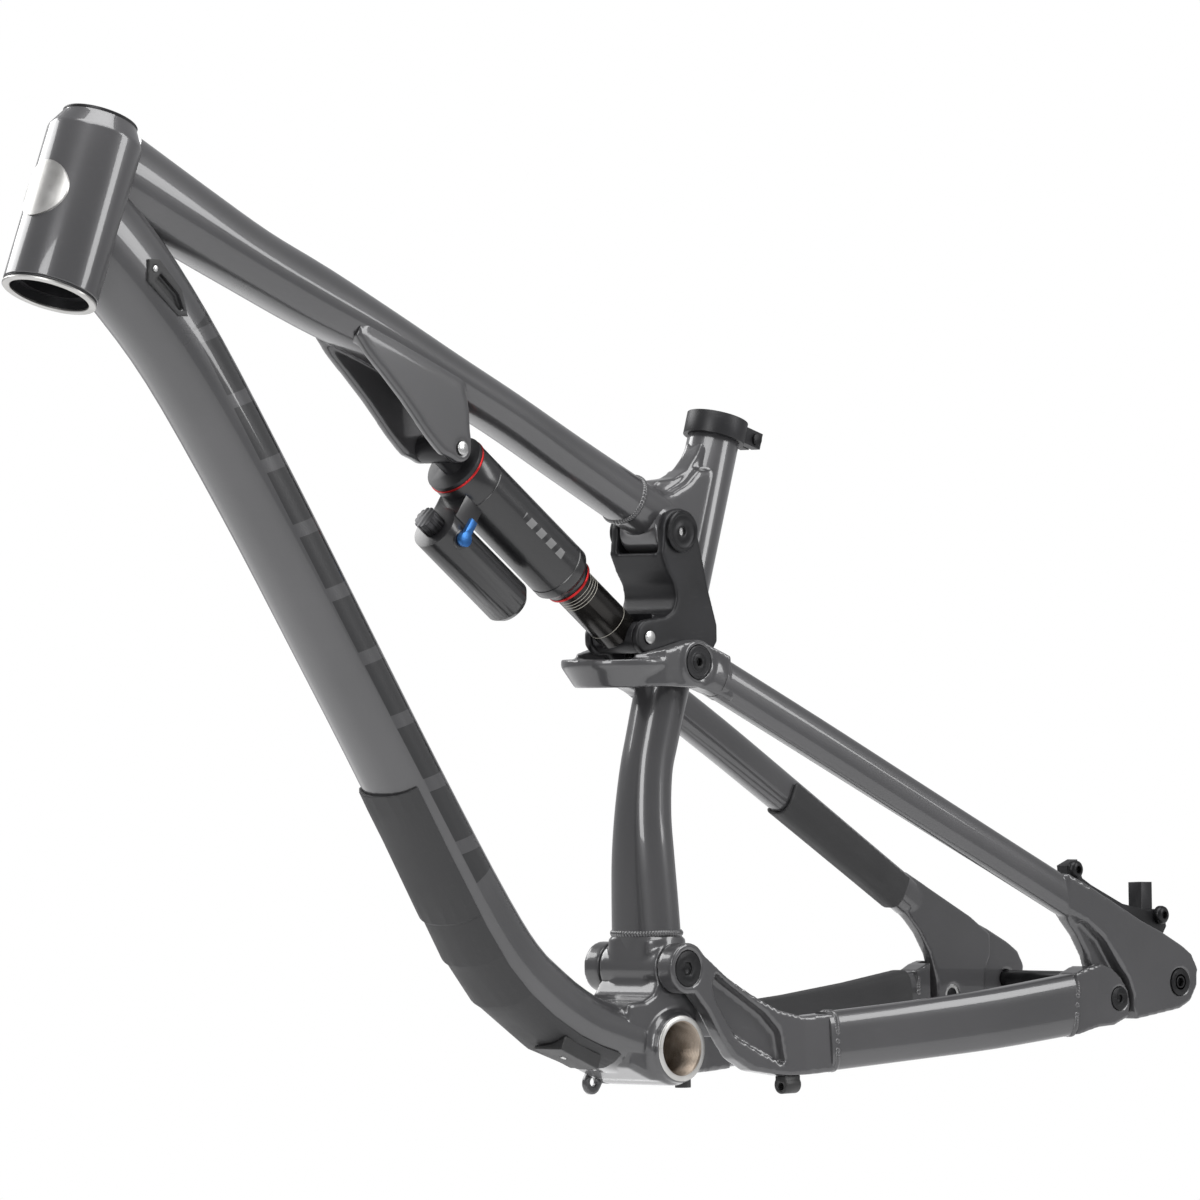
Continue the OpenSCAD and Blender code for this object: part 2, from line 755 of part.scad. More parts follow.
module dropout(right) {
    color(paint) left_or_right(right) difference() {
        union() {
            intersection() {
                plate(hub_width / 2, drop_out) polygon(dropout_outline());
                plan([[leg_back, 60], [leg_back, 82.7], [-352, 86], [-385, drop_out], [-480, drop_out],
                    [-480, 60]]);
            }
            plate(horst_face - 9, horst_face) union() {
                polygon([[leg_back, 106.5], [-400, 73], [-420, 60], [-420, 10], [-380, 4], [-366, 14],
                    [-364, 30], [-358, 48], [-348, 63], [leg_back, 77.5]]);
                translate(horst_at) circle(r = 15);
            }
        }
        // room for the hub at the axle
        pin(rear_axle_at, 27, 0, hub_width / 2);
        pin(rear_axle_at, right ? axle_thread_radius : axle_shoulder_radius, 0, 200);
        if (!right) pin(rear_axle_at, axle_head_radius, drop_out - 4, 200);
        pin(horst_at, horst_bearing_radius, horst_face - 8, 200);
        pin(horst_at, horst_bolt_radius + 1.5, 0, 200);
    }
}

module horst_bearings() {
    color("silver") both_sides() difference() {
        pin(horst_at, horst_bearing_radius, horst_face - 8, horst_face);
        pin(horst_at, horst_bolt_radius + pin_play, 0, 200);
    }
}

module flip_chips() {
    color("black") both_sides() difference() {
        pin(seatstay_pivot_at, chip_radius, stay_out - 8, stay_out + 0.3);
        pin(seatstay_pivot_at, stay_bolt_radius, 0, 100);
    }
}

module seatstay_pivot_bolts() {
    color("black") both_sides() difference() {
        pin(seatstay_pivot_at, stay_bolt_radius, rocker_out + 1.2, stay_out + 0.6);
        translate([seatstay_pivot_at[0], stay_out - 3, seatstay_pivot_at[1]]) rotate([-90, 0, 0])
            cylinder(r = 3, h = 10, $fn = 6);
    }
}

module derailleur_hanger() {
    color("black") mirror([0, 1, 0]) difference() {
        plate(drop_out, drop_out + 5) union() {
            translate(rear_axle_at) circle(r = 13);
            polygon([[-452, 32], [-458, 2], [-453, -6], [-444, -4], [-430, 24]]);
        }
        pin(rear_axle_at, axle_thread_radius, 0, 200);
        pin([-451, 1], 4.6, 0, 200);
    }
}

module rear_axle() {
    color("dimgray") {
        pin(rear_axle_at, axle_thread_radius, -drop_out - 5, axle_step - hub_width / 2);
        pin(rear_axle_at, axle_radius, axle_step - hub_width / 2, hub_width / 2);
        pin(rear_axle_at, axle_shoulder_radius, hub_width / 2, drop_out - 4);
        difference() {
            pin(rear_axle_at, axle_head_radius, drop_out - 4, drop_out + 0.5);
            translate([rear_axle_at[0], drop_out - 3, rear_axle_at[1]]) rotate([-90, 0, 0])
                cylinder(r = 3.4, h = 10, $fn = 6);
        }
    }
}

// rubber on the lower and inner side of the drive-side stay
module seatstay_guard() {
    guard_path = [leg_path[2] + [4, -0.6, 2.2, 0, 0], leg_path[3], leg_path[4] + [14, -1.9, 7.4, 0, 0]];
    color("black") mirror([0, 1, 0]) difference() {
        swept_sheet(guard_path, 2, 11, guard_thickness, 0.7, 1);
        swept_bar(leg_path, 0, 0.7, 1);
    }
}

function adapter_bolts() = [[-354, 108], [-442, 74]];

module brake_adapter() {
    color("black") difference() {
        union() {
            plate(60, 69) polygon([[-347, 111], [-358, 115], [-363, 102], [-372, 97], [-404, 83],
                [-428, 78], [-446, 78], [-449, 66], [-441, 55], [-400, 62], [-350, 90]]);
            plate(54, 66) polygon([[-427, 76], [-438, 78], [-438, 97], [-427, 97]]);
        }
        for (p = adapter_bolts()) pin(p, 3, 0, 200);
    }
}

module brake_adapter_bolts() {
    color("black") for (p = adapter_bolts()) {
        pin(p, 3, 60, 69);
        pin(p, 6.4, 69, 74);
    }
}

// ---- rocker ----

module rocker_link() {
    color("black") difference() {
        union() {
            both_sides() plate(rocker_in, rocker_out) union() {
                translate(rocker_pivot_at) circle(r = rocker_eye_radius);
                translate(seatstay_pivot_at) circle(r = 14);
                translate(shock_low_at) circle(r = 12);
                polygon([[-33, 346], [-2.6, 341], [-0.7, 328], [-6, 317], [-12, 308], [-14, 299], [-11, 291],
                    [-4, 287], [13, 285], [24, 268], [8, 262], [-10, 245], [-27, 245], [-47, 262],
                    [-52, 269], [-52, 281], [-44, 306], [-37, 334]]);
            }
            plate(-rocker_in, rocker_in) polygon([[-25, 320.5], [-14, 321.8], [-8, 325], [-4.5, 330],
                [-0.7, 328], [-6, 317], [-12, 308], [-14, 299], [-11, 291], [-5, 287.5], [4, 289], [0, 280],
                [-14, 284], [-20, 297]]);
        }
        both_sides() {
            pin(rocker_pivot_at, rocker_bearing_radius, rocker_in, 50);
            pin(seatstay_pivot_at, 10, rocker_in, 50);
            pin(shock_low_at, shock_bolt_radius, 0, 50);
        }
        // room for the shock's lower eye
        pin(shock_low_at, 14, -rocker_in, rocker_in);
    }
}

module rocker_bearings() {
    color("silver") both_sides() {
        difference() {
            pin(rocker_pivot_at, rocker_bearing_radius, rocker_in, rocker_out);
            pin(rocker_pivot_at, rocker_axle_radius + pin_play, 0, 50);
        }
        difference() {
            pin(seatstay_pivot_at, 10, rocker_in, rocker_out);
            pin(seatstay_pivot_at, 5, 0, 50);
        }
    }
}

module shock_lower_bolts() {
    color("silver") both_sides() {
        pin(shock_low_at, shock_bolt_radius, rocker_in, rocker_out);
        pin(shock_low_at, shock_head_radius, rocker_out, rocker_out + 1.2);
    }
}

// ---- shock ----

head_start = 16;
head_ring = 19;
can_neck = 138;
can_end = 145.5;
stroke_room = 32;
piston_start = 88;
lower_eye_radius = 10.5;
reservoir_x = -44.5;
lever_x = -46;
lever_y = 16.5;
lever_s = 38;

module shock_head() {
    color("black") {
        difference() {
            union() {
                pin(shock_up_at, 9.5, -ear_in + face_gap, ear_in - face_gap);
                along_shock() translate([0, 0, 4]) cylinder(r = 9, h = head_start - 4);
                along_shock() translate([0, 0, head_start])
                    cylinder(r = can_radius, h = head_ring - head_start);
            }
            pin(shock_up_at, shock_bolt_radius + pin_play, -50, 50);
        }
    }
}

module shock_accent_rings() {
    color("red") along_shock() {
        difference() {
            translate([0, 0, head_ring]) cylinder(r = can_radius + 0.4, h = 1.6);
            translate([0, 0, head_ring - 1]) cylinder(r = can_radius - 4, h = 5);
        }
        difference() {
            translate([0, 0, can_end]) cylinder(r = 17, h = 2);
            translate([0, 0, can_end - 1]) cylinder(r = shaft_radius + 0.4, h = 5);
        }
    }
}

module air_can() {
    color("black") along_shock() difference() {
        union() {
            translate([0, 0, head_ring + 1.6]) cylinder(r = can_radius, h = can_neck - head_ring - 1.6);
            translate([0, 0, can_neck]) cylinder(r1 = can_radius, r2 = 17, h = 4);
            translate([0, 0, can_neck + 4]) cylinder(r = 17, h = can_end - can_neck - 4);
        }
        translate([0, 0, stroke_room]) cylinder(r = 19.5, h = can_neck - stroke_room - 2);
        translate([0, 0, stroke_room]) cylinder(r = shaft_radius + shaft_play, h = 200);
    }
}

module reservoir() {
    color("black") along_shock() difference() {
        union() {
            translate([reservoir_x, 0, 26]) cylinder(r = 16, h = 82);
            translate([reservoir_x, 0, 108]) cylinder(r1 = 16, r2 = 12.5, h = 5);
            translate([reservoir_x, -12, 28]) cube([-reservoir_x, 24, 18]);
            translate([lever_x, 0, lever_s]) rotate([-90, 0, 0]) cylinder(r = 6.5, h = lever_y);
        }
        cylinder(r = can_radius, h = 200);
        translate([reservoir_x, 0, 50]) cylinder(r = 14, h = 55);
    }
}

module lockout_lever() {
    color("royalblue") along_shock() translate([lever_x, lever_y + face_gap, lever_s]) rotate([-90, 0, 0]) {
        cylinder(r = 5, h = 4);
        translate([0, -3, 0]) cube([15, 6, 3]);
    }
}

module adjuster_dial() {
    color("dimgray") along_shock() translate([reservoir_x, 0, 15]) difference() {
        cylinder(r = 8, h = 11 - face_gap);
        for (k = [0:11]) rotate(30 * k) translate([8.4, 0, -1]) cylinder(r = 1.1, h = 20, $fn = 16);
    }
}

module shock_shaft() {
    color("black") difference() {
        along_shock() difference() {
            union() {
                translate([0, 0, piston_start]) cylinder(r = shaft_radius, h = 203 - piston_start);
                translate([0, 0, piston_start]) cylinder(r = 19.4, h = 10);
            }
            translate([0, 0, piston_start + 12]) cylinder(r = shaft_radius - 2.2, h = 90);
        }
        pin(shock_low_at, lower_eye_radius, -50, 50);
    }
}

module shock_lower_eye() {
    color("black") difference() {
        pin(shock_low_at, lower_eye_radius, -rocker_in + face_gap, rocker_in - face_gap);
        pin(shock_low_at, shock_bolt_radius, -50, 50);
    }
}

head_tube();
lower_headset_cup();
upper_headset_cup();
head_badge();
top_tube();
shock_mount_yoke();
down_tube();
upper_seat_tube();
lower_seat_tube();
seat_tube_gusset();
bb_forging();
bb_shell();
main_pivot_housing();
rocker_pivot_housing();
iscg_mount();
down_tube_guard();
cable_port_covers();
cable_exit_cover();
cable_cover_screws();
drain_plug();
seat_clamp();
seat_clamp_bolt();
main_pivot_bearings();
rocker_axle();
rocker_pivot_caps();
shock_upper_bolt();
chainstay_yoke();
chainstay_tube(false);  // left_chainstay
chainstay_tube(true);  // right_chainstay
chainstay_end(false);  // left_chainstay_end
chainstay_end(true);  // right_chainstay_end
main_pivot_axle();
main_pivot_bolts();
horst_bolts();
chainstay_guard();
cable_clip();
seatstay_yoke();
seatstay(false);  // left_seatstay
seatstay(true);  // right_seatstay
dropout(false);  // left_dropout
dropout(true);  // right_dropout
flip_chips();
seatstay_pivot_bolts();
horst_bearings();
derailleur_hanger();
rear_axle();
seatstay_guard();
brake_adapter();
brake_adapter_bolts();
rocker_link();
rocker_bearings();
shock_lower_bolts();
shock_head();
air_can();
shock_accent_rings();
reservoir();
shock_shaft();
shock_lower_eye();
lockout_lever();
adjuster_dial();
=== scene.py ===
import math
import bpy
from mathutils import Matrix, Vector


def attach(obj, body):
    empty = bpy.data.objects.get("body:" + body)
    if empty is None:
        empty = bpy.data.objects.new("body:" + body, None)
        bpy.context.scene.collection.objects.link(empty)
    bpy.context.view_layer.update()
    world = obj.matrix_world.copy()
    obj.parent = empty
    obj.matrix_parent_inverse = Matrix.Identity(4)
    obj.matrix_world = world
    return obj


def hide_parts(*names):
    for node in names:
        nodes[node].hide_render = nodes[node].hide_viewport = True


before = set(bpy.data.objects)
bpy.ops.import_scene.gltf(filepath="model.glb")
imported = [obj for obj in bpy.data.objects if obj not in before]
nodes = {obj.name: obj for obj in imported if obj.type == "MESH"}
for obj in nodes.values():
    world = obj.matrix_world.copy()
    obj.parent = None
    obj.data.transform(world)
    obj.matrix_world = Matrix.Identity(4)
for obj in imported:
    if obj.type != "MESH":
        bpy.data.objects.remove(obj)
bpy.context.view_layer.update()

mm = 0.001
print("frame loaded,", len(nodes), "nodes")


# selection and modifiers

def clearSelection():
    if bpy.context.object and bpy.context.object.mode != "OBJECT":
        bpy.ops.object.mode_set(mode="OBJECT")
    bpy.ops.object.select_all(action="DESELECT")


def pick(piece):
    clearSelection()
    piece.select_set(True)
    bpy.context.view_layer.objects.active = piece


def named(name):
    piece = bpy.context.object
    piece.name = name
    piece.data.name = name
    return piece


def applyModifier(piece, kind, **settings):
    pick(piece)
    modifier = piece.modifiers.new(kind.lower(), kind)
    for key, value in settings.items():
        setattr(modifier, key, value)
    bpy.ops.object.modifier_apply(modifier=modifier.name)


def selectOnly(piece, test, kind="VERT"):
    # edit mode with only what passes the test selected
    pick(piece)
    bpy.ops.object.mode_set(mode="EDIT")
    bpy.ops.mesh.select_mode(type=kind)
    bpy.ops.mesh.select_all(action="DESELECT")
    bpy.ops.object.mode_set(mode="OBJECT")
    parts = {"VERT": piece.data.vertices, "FACE": piece.data.polygons}[kind]
    for part in parts:
        part.select = test(part)
    bpy.ops.object.mode_set(mode="EDIT")


def selectAll(piece):
    selectOnly(piece, lambda part: True)


def closeAndTurnOut(piece):
    # fills the open ends and points the faces outwards
    selectAll(piece)
    bpy.ops.mesh.remove_doubles(threshold=0.01 * mm)
    bpy.ops.mesh.fill_holes(sides=0)
    bpy.ops.mesh.select_all(action="SELECT")
    bpy.ops.mesh.normals_make_consistent(inside=False)
    bpy.ops.object.mode_set(mode="OBJECT")


def finishPiece(piece, body, material, stands=(), angle=38):
    pick(piece)
    bpy.ops.object.transform_apply(location=True, rotation=True, scale=True)
    bpy.ops.object.shade_smooth_by_angle(angle=math.radians(angle))
    piece.data.materials.clear()
    piece.data.materials.append(material)
    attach(piece, body)
    if stands:
        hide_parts(*stands)


# swept tubes: a ring is pulled from station to station

def blendFour(a, b, c, d, t):
    return [0.5 * (2 * q + (r - p) * t + (2 * p - 5 * q + 4 * r - s) * t * t
                   + (3 * q - p - 3 * r + s) * t ** 3)
            for p, q, r, s in zip(a, b, c, d)]


def smoothStations(stations, steps):
    last = len(stations) - 1
    fine = []
    for i in range(last):
        for k in range(steps):
            fine.append(blendFour(stations[max(i - 1, 0)], stations[i], stations[i + 1],
                                  stations[min(i + 2, last)], k / steps))
    fine.append(list(stations[last]))
    return fine


def squareUp(piece, fullness):
    # pushes the ring's diagonals out: 2 is an ellipse, 4 is nearly a box
    groups = {}
    for v in piece.data.vertices:
        angle = math.atan2(abs(v.co.y), abs(v.co.x))
        reach = (math.cos(angle) ** fullness + math.sin(angle) ** fullness) ** (-1 / fullness)
        groups.setdefault(round(reach, 4), []).append(v.index)
    for reach, members in groups.items():
        selectOnly(piece, lambda v: v.index in members)
        bpy.ops.transform.resize(value=(reach, reach, 1), center_override=(0, 0, 0))


def sweepTube(name, shape):
    stations = smoothStations(shape["stations"], shape.get("steps", 4))
    grow = shape.get("grow", 0)
    clearSelection()
    bpy.ops.mesh.primitive_circle_add(vertices=shape.get("sides", 32), radius=mm)
    piece = named(name)
    squareUp(piece, shape["fullness"])
    selectAll(piece)
    here, tilt, size = Vector((0, 0, 0)), 0, (1, 1)
    for i, station in enumerate(stations):
        before, after = stations[max(i - 1, 0)], stations[min(i + 1, len(stations) - 1)]
        if i:
            bpy.ops.mesh.extrude_region_move()
        place = Vector(station[:3]) * mm
        bpy.ops.transform.translate(value=place - here)
        bpy.ops.transform.rotate(value=tilt, orient_axis="Y", center_override=place)
        wide, high = station[3] + grow, station[4] + grow
        bpy.ops.transform.resize(value=(high / size[0], wide / size[1], 1), center_override=place)
        tilt = math.atan2(after[0] - before[0], after[2] - before[2])
        bpy.ops.transform.rotate(value=-tilt, orient_axis="Y", center_override=place)
        here, size = place, (high, wide)
    bpy.ops.mesh.select_all(action="SELECT")
    bpy.ops.mesh.normals_make_consistent(inside=False)
    bpy.ops.object.mode_set(mode="OBJECT")
    return piece


def cutWith(piece, cutter):
    applyModifier(piece, "BOOLEAN", operation="DIFFERENCE", solver="EXACT", object=cutter)
    bpy.data.objects.remove(cutter)


# turned pieces: a ring is pulled along its axis through the profile's (radius, place) pairs

def turnPiece(name, shape):
    profile = shape["profile"]
    clearSelection()
    bpy.ops.mesh.primitive_circle_add(vertices=shape.get("sides", 64), radius=profile[0][0] * mm,
                                      location=(0, 0, profile[0][1] * mm))
    piece = named(name)
    bpy.ops.object.transform_apply(location=True)
    selectAll(piece)
    pairs = profile + ([profile[0]] if shape.get("ring") else [])
    for (r0, a0), (r1, a1) in zip(pairs, pairs[1:]):
        bpy.ops.mesh.extrude_region_move(TRANSFORM_OT_translate={"value": (0, 0, (a1 - a0) * mm)})
        bpy.ops.transform.resize(value=(r1 / r0, r1 / r0, 1), center_override=(0, 0, a1 * mm))
    closeAndTurnOut(piece)
    if shape.get("crossways"):
        piece.rotation_euler = (-math.pi / 2, 0, 0)
        piece.location = (shape["at"][0] * mm, shape.get("side", 0) * mm, shape["at"][1] * mm)
    else:
        piece.rotation_euler = (0, math.atan2(shape["lean"][0], shape["lean"][1]), 0)
        piece.location = (shape["at"][0] * mm, 0, shape["at"][1] * mm)
    pick(piece)
    bpy.ops.object.transform_apply(location=True, rotation=True, scale=True)
    return piece


# forged and machined pieces: the rough shape is copied and its edges are worked

def roughCopy(name, sources, extra=()):
    clearSelection()
    for piece in extra:
        piece.select_set(True)
    for source in sources:
        copy = nodes[source].copy()
        copy.data = nodes[source].data.copy()
        copy.parent = None
        for key in list(copy.keys()):
            del copy[key]
        bpy.context.scene.collection.objects.link(copy)
        copy.select_set(True)
        bpy.context.view_layer.objects.active = copy
    if len(sources) + len(extra) > 1:
        bpy.ops.object.join()
    piece = named(name)
    selectAll(piece)
    bpy.ops.mesh.remove_doubles(threshold=0.005 * mm)
    bpy.ops.object.mode_set(mode="OBJECT")
    return piece


def forgePiece(name, sources, grain=1.4, rounds=8, extra=()):
    piece = roughCopy(name, sources, extra)
    applyModifier(piece, "REMESH", mode="VOXEL", voxel_size=grain * mm)
    applyModifier(piece, "SMOOTH", factor=0.5, iterations=rounds)
    return piece


def machinePiece(name, sources, edge=0.5):
    piece = roughCopy(name, sources)
    selectAll(piece)
    bpy.ops.mesh.dissolve_limited(angle_limit=math.radians(0.6))
    bpy.ops.object.mode_set(mode="OBJECT")
    applyModifier(piece, "BEVEL", width=edge * mm, segments=2, limit_method="ANGLE",
                  angle_limit=math.radians(35), use_clamp_overlap=True)
    return piece


def barAlong(name, bar):
    # a round bar that leans in the middle plane
    clearSelection()
    lean = Vector((bar["lean"][0], 0, bar["lean"][1])).normalized()
    start, end = bar["along"]
    centre = (Vector((bar["at"][0], 0, bar["at"][1])) + lean * (start + end) / 2) * mm
    bpy.ops.mesh.primitive_cylinder_add(vertices=64, radius=bar["radius"] * mm, depth=(end - start) * mm,
                                        location=centre, rotation=(0, math.atan2(lean.x, lean.z), 0))
    piece = named(name)
    bpy.ops.object.transform_apply(location=True, rotation=True)
    return piece


def crosswaysBar(name, bar):
    clearSelection()
    x, z = bar["at"]
    bpy.ops.mesh.primitive_cylinder_add(vertices=96, radius=bar["radius"] * mm, depth=bar["length"] * mm,
                                        location=(x * mm, 0, z * mm), rotation=(math.pi / 2, 0, 0))
    piece = named(name)
    bpy.ops.object.transform_apply(location=True, rotation=True)
    return piece


def stub(name, shape, stations):
    # a short length of a tube, for blending into a forging
    piece = sweepTube(name, dict(shape, stations=stations))
    closeAndTurnOut(piece)
    return piece


def onSide(stations, side):
    return [(x, y * side, z, wide, high) for x, y, z, wide, high in stations]


def weldRing(name, ring):
    # overlapping puddles of weld round a joint
    clearSelection()
    beads = ring["beads"]
    piece = None
    for k in range(beads):
        turn = 2 * math.pi * k / beads
        c, s = math.cos(turn), math.sin(turn)
        power = 2 / ring["fullness"]
        across = math.copysign(abs(c) ** power, c) * ring["wide"]
        up = math.copysign(abs(s) ** power, s) * ring["high"]
        x, y, z = ring["at"]
        lean = math.radians(ring["lean"])
        place = Vector((x - up * math.sin(lean), y + across, z + up * math.cos(lean))) * mm
        if piece is None:
            bpy.ops.mesh.primitive_ico_sphere_add(subdivisions=2, radius=ring["size"] * mm, location=place)
            piece = named(name)
            bpy.ops.object.transform_apply(location=True)
            bpy.ops.object.mode_set(mode="EDIT")
        else:
            bpy.ops.mesh.primitive_ico_sphere_add(subdivisions=2, radius=ring["size"] * mm, location=place)
    bpy.ops.object.mode_set(mode="OBJECT")
    return piece


# shader groups

def newGroup(name, inputs, outputs):
    group = bpy.data.node_groups.new(name, "ShaderNodeTree")
    for label, value in inputs:
        socket = group.interface.new_socket(label, in_out="INPUT", socket_type="NodeSocketFloat")
        socket.default_value = value
    for label in outputs:
        group.interface.new_socket(label, in_out="OUTPUT", socket_type="NodeSocketFloat")
    return group, group.nodes.new("NodeGroupInput"), group.nodes.new("NodeGroupOutput")


def mathNode(tree, operation, first, second=None):
    node = tree.nodes.new("ShaderNodeMath")
    node.operation = operation
    for socket, value in zip(node.inputs, (first, second)):
        if value is None:
            continue
        if isinstance(value, (int, float)):
            socket.default_value = value
        else:
            tree.links.new(value, socket)
    return node.outputs[0]


def noiseNode(tree, vector, scale, detail=3):
    node = tree.nodes.new("ShaderNodeTexNoise")
    node.inputs["Detail"].default_value = detail
    tree.links.new(vector, node.inputs["Vector"])
    if isinstance(scale, (int, float)):
        node.inputs["Scale"].default_value = scale
    else:
        tree.links.new(scale, node.inputs["Scale"])
    return node.outputs["Fac"]


def makeGrainGroup():
    # fine grain for bump, broad patches for tint and gloss, and thin scuffs
    group, start, end = newGroup("surfaceGrain", [("Fine", 900), ("Broad", 18)],
                                 ["Grain", "Patches", "Scuffs"])
    place = group.nodes.new("ShaderNodeTexCoord").outputs["Object"]
    grain = noiseNode(group, place, start.outputs["Fine"], 2)
    patches = noiseNode(group, place, start.outputs["Broad"], 5)
    stretched = group.nodes.new("ShaderNodeMapping")
    stretched.inputs["Scale"].default_value = (60, 240, 420)
    stretched.inputs["Rotation"].default_value = (0.2, 0.5, 0.1)
    group.links.new(place, stretched.inputs["Vector"])
    lines = noiseNode(group, stretched.outputs["Vector"], 1.0, 6)
    scuffs = mathNode(group, "MULTIPLY", mathNode(group, "SUBTRACT", lines, 0.63), 9)
    clamp = group.nodes.new("ShaderNodeClamp")
    group.links.new(mathNode(group, "MULTIPLY", scuffs, patches), clamp.inputs["Value"])
    group.links.new(grain, end.inputs["Grain"])
    group.links.new(patches, end.inputs["Patches"])
    group.links.new(clamp.outputs["Result"], end.inputs["Scuffs"])
    return group


grainGroup = makeGrainGroup()
slotOf = {}


def rangeNode(tree, value, low, high):
    node = tree.nodes.new("ShaderNodeMapRange")
    node.inputs["From Min"].default_value = 0.3
    node.inputs["From Max"].default_value = 0.7
    node.inputs["To Min"].default_value = low
    node.inputs["To Max"].default_value = high
    tree.links.new(value, node.inputs["Value"])
    return node.outputs["Result"]


def mixColor(tree, factor, first, second):
    node = tree.nodes.new("ShaderNodeMix")
    node.data_type = "RGBA"
    tree.links.new(factor, node.inputs["Factor"])
    for socket, value in ((node.inputs["A"], first), (node.inputs["B"], second)):
        if isinstance(value, tuple):
            socket.default_value = value + (1,)
        else:
            tree.links.new(value, socket)
    return node.outputs["Result"]


def makeFinish(name, slot, finish):
    material = bpy.data.materials.new(name)
    material.use_nodes = True
    tree = material.node_tree
    shader = tree.nodes["Principled BSDF"]
    grain = tree.nodes.new("ShaderNodeGroup")
    grain.node_tree = grainGroup
    grain.inputs["Fine"].default_value = finish["fine"]
    grain.inputs["Broad"].default_value = finish["broad"]
    base = mixColor(tree, rangeNode(tree, grain.outputs["Patches"], 0, 1), finish["dark"], finish["light"])
    base = mixColor(tree, mathNode(tree, "MULTIPLY", grain.outputs["Scuffs"], finish["scuff"]), base,
                    finish["worn"])
    tree.links.new(base, shader.inputs["Base Color"])
    rough = rangeNode(tree, grain.outputs["Patches"], finish["rough"][0], finish["rough"][1])
    rough = mathNode(tree, "ADD", rough, mathNode(tree, "MULTIPLY", grain.outputs["Scuffs"], 0.12))
    tree.links.new(rough, shader.inputs["Roughness"])
    bump = tree.nodes.new("ShaderNodeBump")
    bump.inputs["Strength"].default_value = finish["bump"]
    bump.inputs["Distance"].default_value = 0.2 * mm
    tree.links.new(grain.outputs["Grain"], bump.inputs["Height"])
    tree.links.new(bump.outputs["Normal"], shader.inputs["Normal"])
    shader.inputs["Metallic"].default_value = finish["metal"]
    shader.inputs["Coat Weight"].default_value = finish.get("coat", 0)
    shader.inputs["Coat Roughness"].default_value = finish.get("coatRough", 0.06)
    shader.inputs["Specular IOR Level"].default_value = finish.get("specular", 0.5)
    slotOf[name] = slot
    return material


greyPaint = makeFinish("greyPaint", "grey_paint", {
    "dark": (0.05, 0.05, 0.052), "light": (0.064, 0.063, 0.066), "worn": (0.1, 0.1, 0.1), "scuff": 0.15,
    "rough": (0.27, 0.33), "metal": 0.3, "coat": 0.9, "coatRough": 0.05, "fine": 1400, "broad": 9,
    "bump": 0.05})
blackAnodised = makeFinish("blackAnodised", "black_anodised", {
    "dark": (0.012, 0.012, 0.013), "light": (0.02, 0.02, 0.022), "worn": (0.06, 0.06, 0.062), "scuff": 0.35,
    "rough": (0.36, 0.46), "metal": 0.4, "fine": 2600, "broad": 25, "bump": 0.12})
glossBlack = makeFinish("glossBlack", "black_anodised", {
    "dark": (0.006, 0.006, 0.007), "light": (0.01, 0.01, 0.011), "worn": (0.04, 0.04, 0.04), "scuff": 0.2,
    "rough": (0.28, 0.34), "metal": 0, "coat": 0.35, "coatRough": 0.12, "fine": 2000, "broad": 30,
    "bump": 0.05})
shaftBlack = makeFinish("shaftBlack", "shaft_coat", {
    "dark": (0.016, 0.015, 0.014), "light": (0.024, 0.022, 0.02), "worn": (0.09, 0.085, 0.07), "scuff": 0.3,
    "rough": (0.16, 0.22), "metal": 0.7, "fine": 3000, "broad": 40, "bump": 0.04})
rubberBlack = makeFinish("rubberBlack", "black_rubber", {
    "dark": (0.017, 0.017, 0.018), "light": (0.026, 0.026, 0.027), "worn": (0.06, 0.058, 0.055), "scuff": 0.4,
    "rough": (0.52, 0.68), "metal": 0, "fine": 1300, "broad": 30, "bump": 0.55})
plasticBlack = makeFinish("plasticBlack", "black_plastic", {
    "dark": (0.011, 0.011, 0.011), "light": (0.017, 0.017, 0.018), "worn": (0.05, 0.05, 0.05), "scuff": 0.3,
    "rough": (0.4, 0.52), "metal": 0, "fine": 1700, "broad": 40, "bump": 0.3})
bareAlloy = makeFinish("bareAlloy", "bare_alloy", {
    "dark": (0.42, 0.415, 0.4), "light": (0.56, 0.555, 0.54), "worn": (0.3, 0.28, 0.25), "scuff": 0.5,
    "rough": (0.3, 0.42), "metal": 1, "fine": 2200, "broad": 60, "bump": 0.18})
threadAlloy = makeFinish("threadAlloy", "bare_alloy", {
    "dark": (0.16, 0.125, 0.095), "light": (0.36, 0.31, 0.26), "worn": (0.5, 0.45, 0.4), "scuff": 0.5,
    "rough": (0.35, 0.5), "metal": 1, "fine": 1500, "broad": 70, "bump": 0.3})
paleMark = makeFinish("paleMark", "shaft_coat", {
    "dark": (0.4, 0.38, 0.33), "light": (0.5, 0.48, 0.42), "worn": (0.2, 0.2, 0.18), "scuff": 0.4,
    "rough": (0.4, 0.5), "metal": 0, "fine": 1500, "broad": 60, "bump": 0.1})
brightSteel = makeFinish("brightSteel", "steel", {
    "dark": (0.5, 0.5, 0.5), "light": (0.62, 0.62, 0.61), "worn": (0.35, 0.34, 0.33), "scuff": 0.5,
    "rough": (0.22, 0.34), "metal": 1, "fine": 2600, "broad": 80, "bump": 0.1})
blackSteel = makeFinish("blackSteel", "black_steel", {
    "dark": (0.013, 0.013, 0.014), "light": (0.024, 0.024, 0.025), "worn": (0.12, 0.12, 0.12), "scuff": 0.4,
    "rough": (0.28, 0.4), "metal": 0.7, "fine": 2400, "broad": 90, "bump": 0.12})
redAnodised = makeFinish("redAnodised", "red_anodised", {
    "dark": (0.36, 0.012, 0.014), "light": (0.5, 0.02, 0.02), "worn": (0.5, 0.2, 0.18), "scuff": 0.2,
    "rough": (0.25, 0.34), "metal": 0.8, "fine": 2600, "broad": 60, "bump": 0.08})
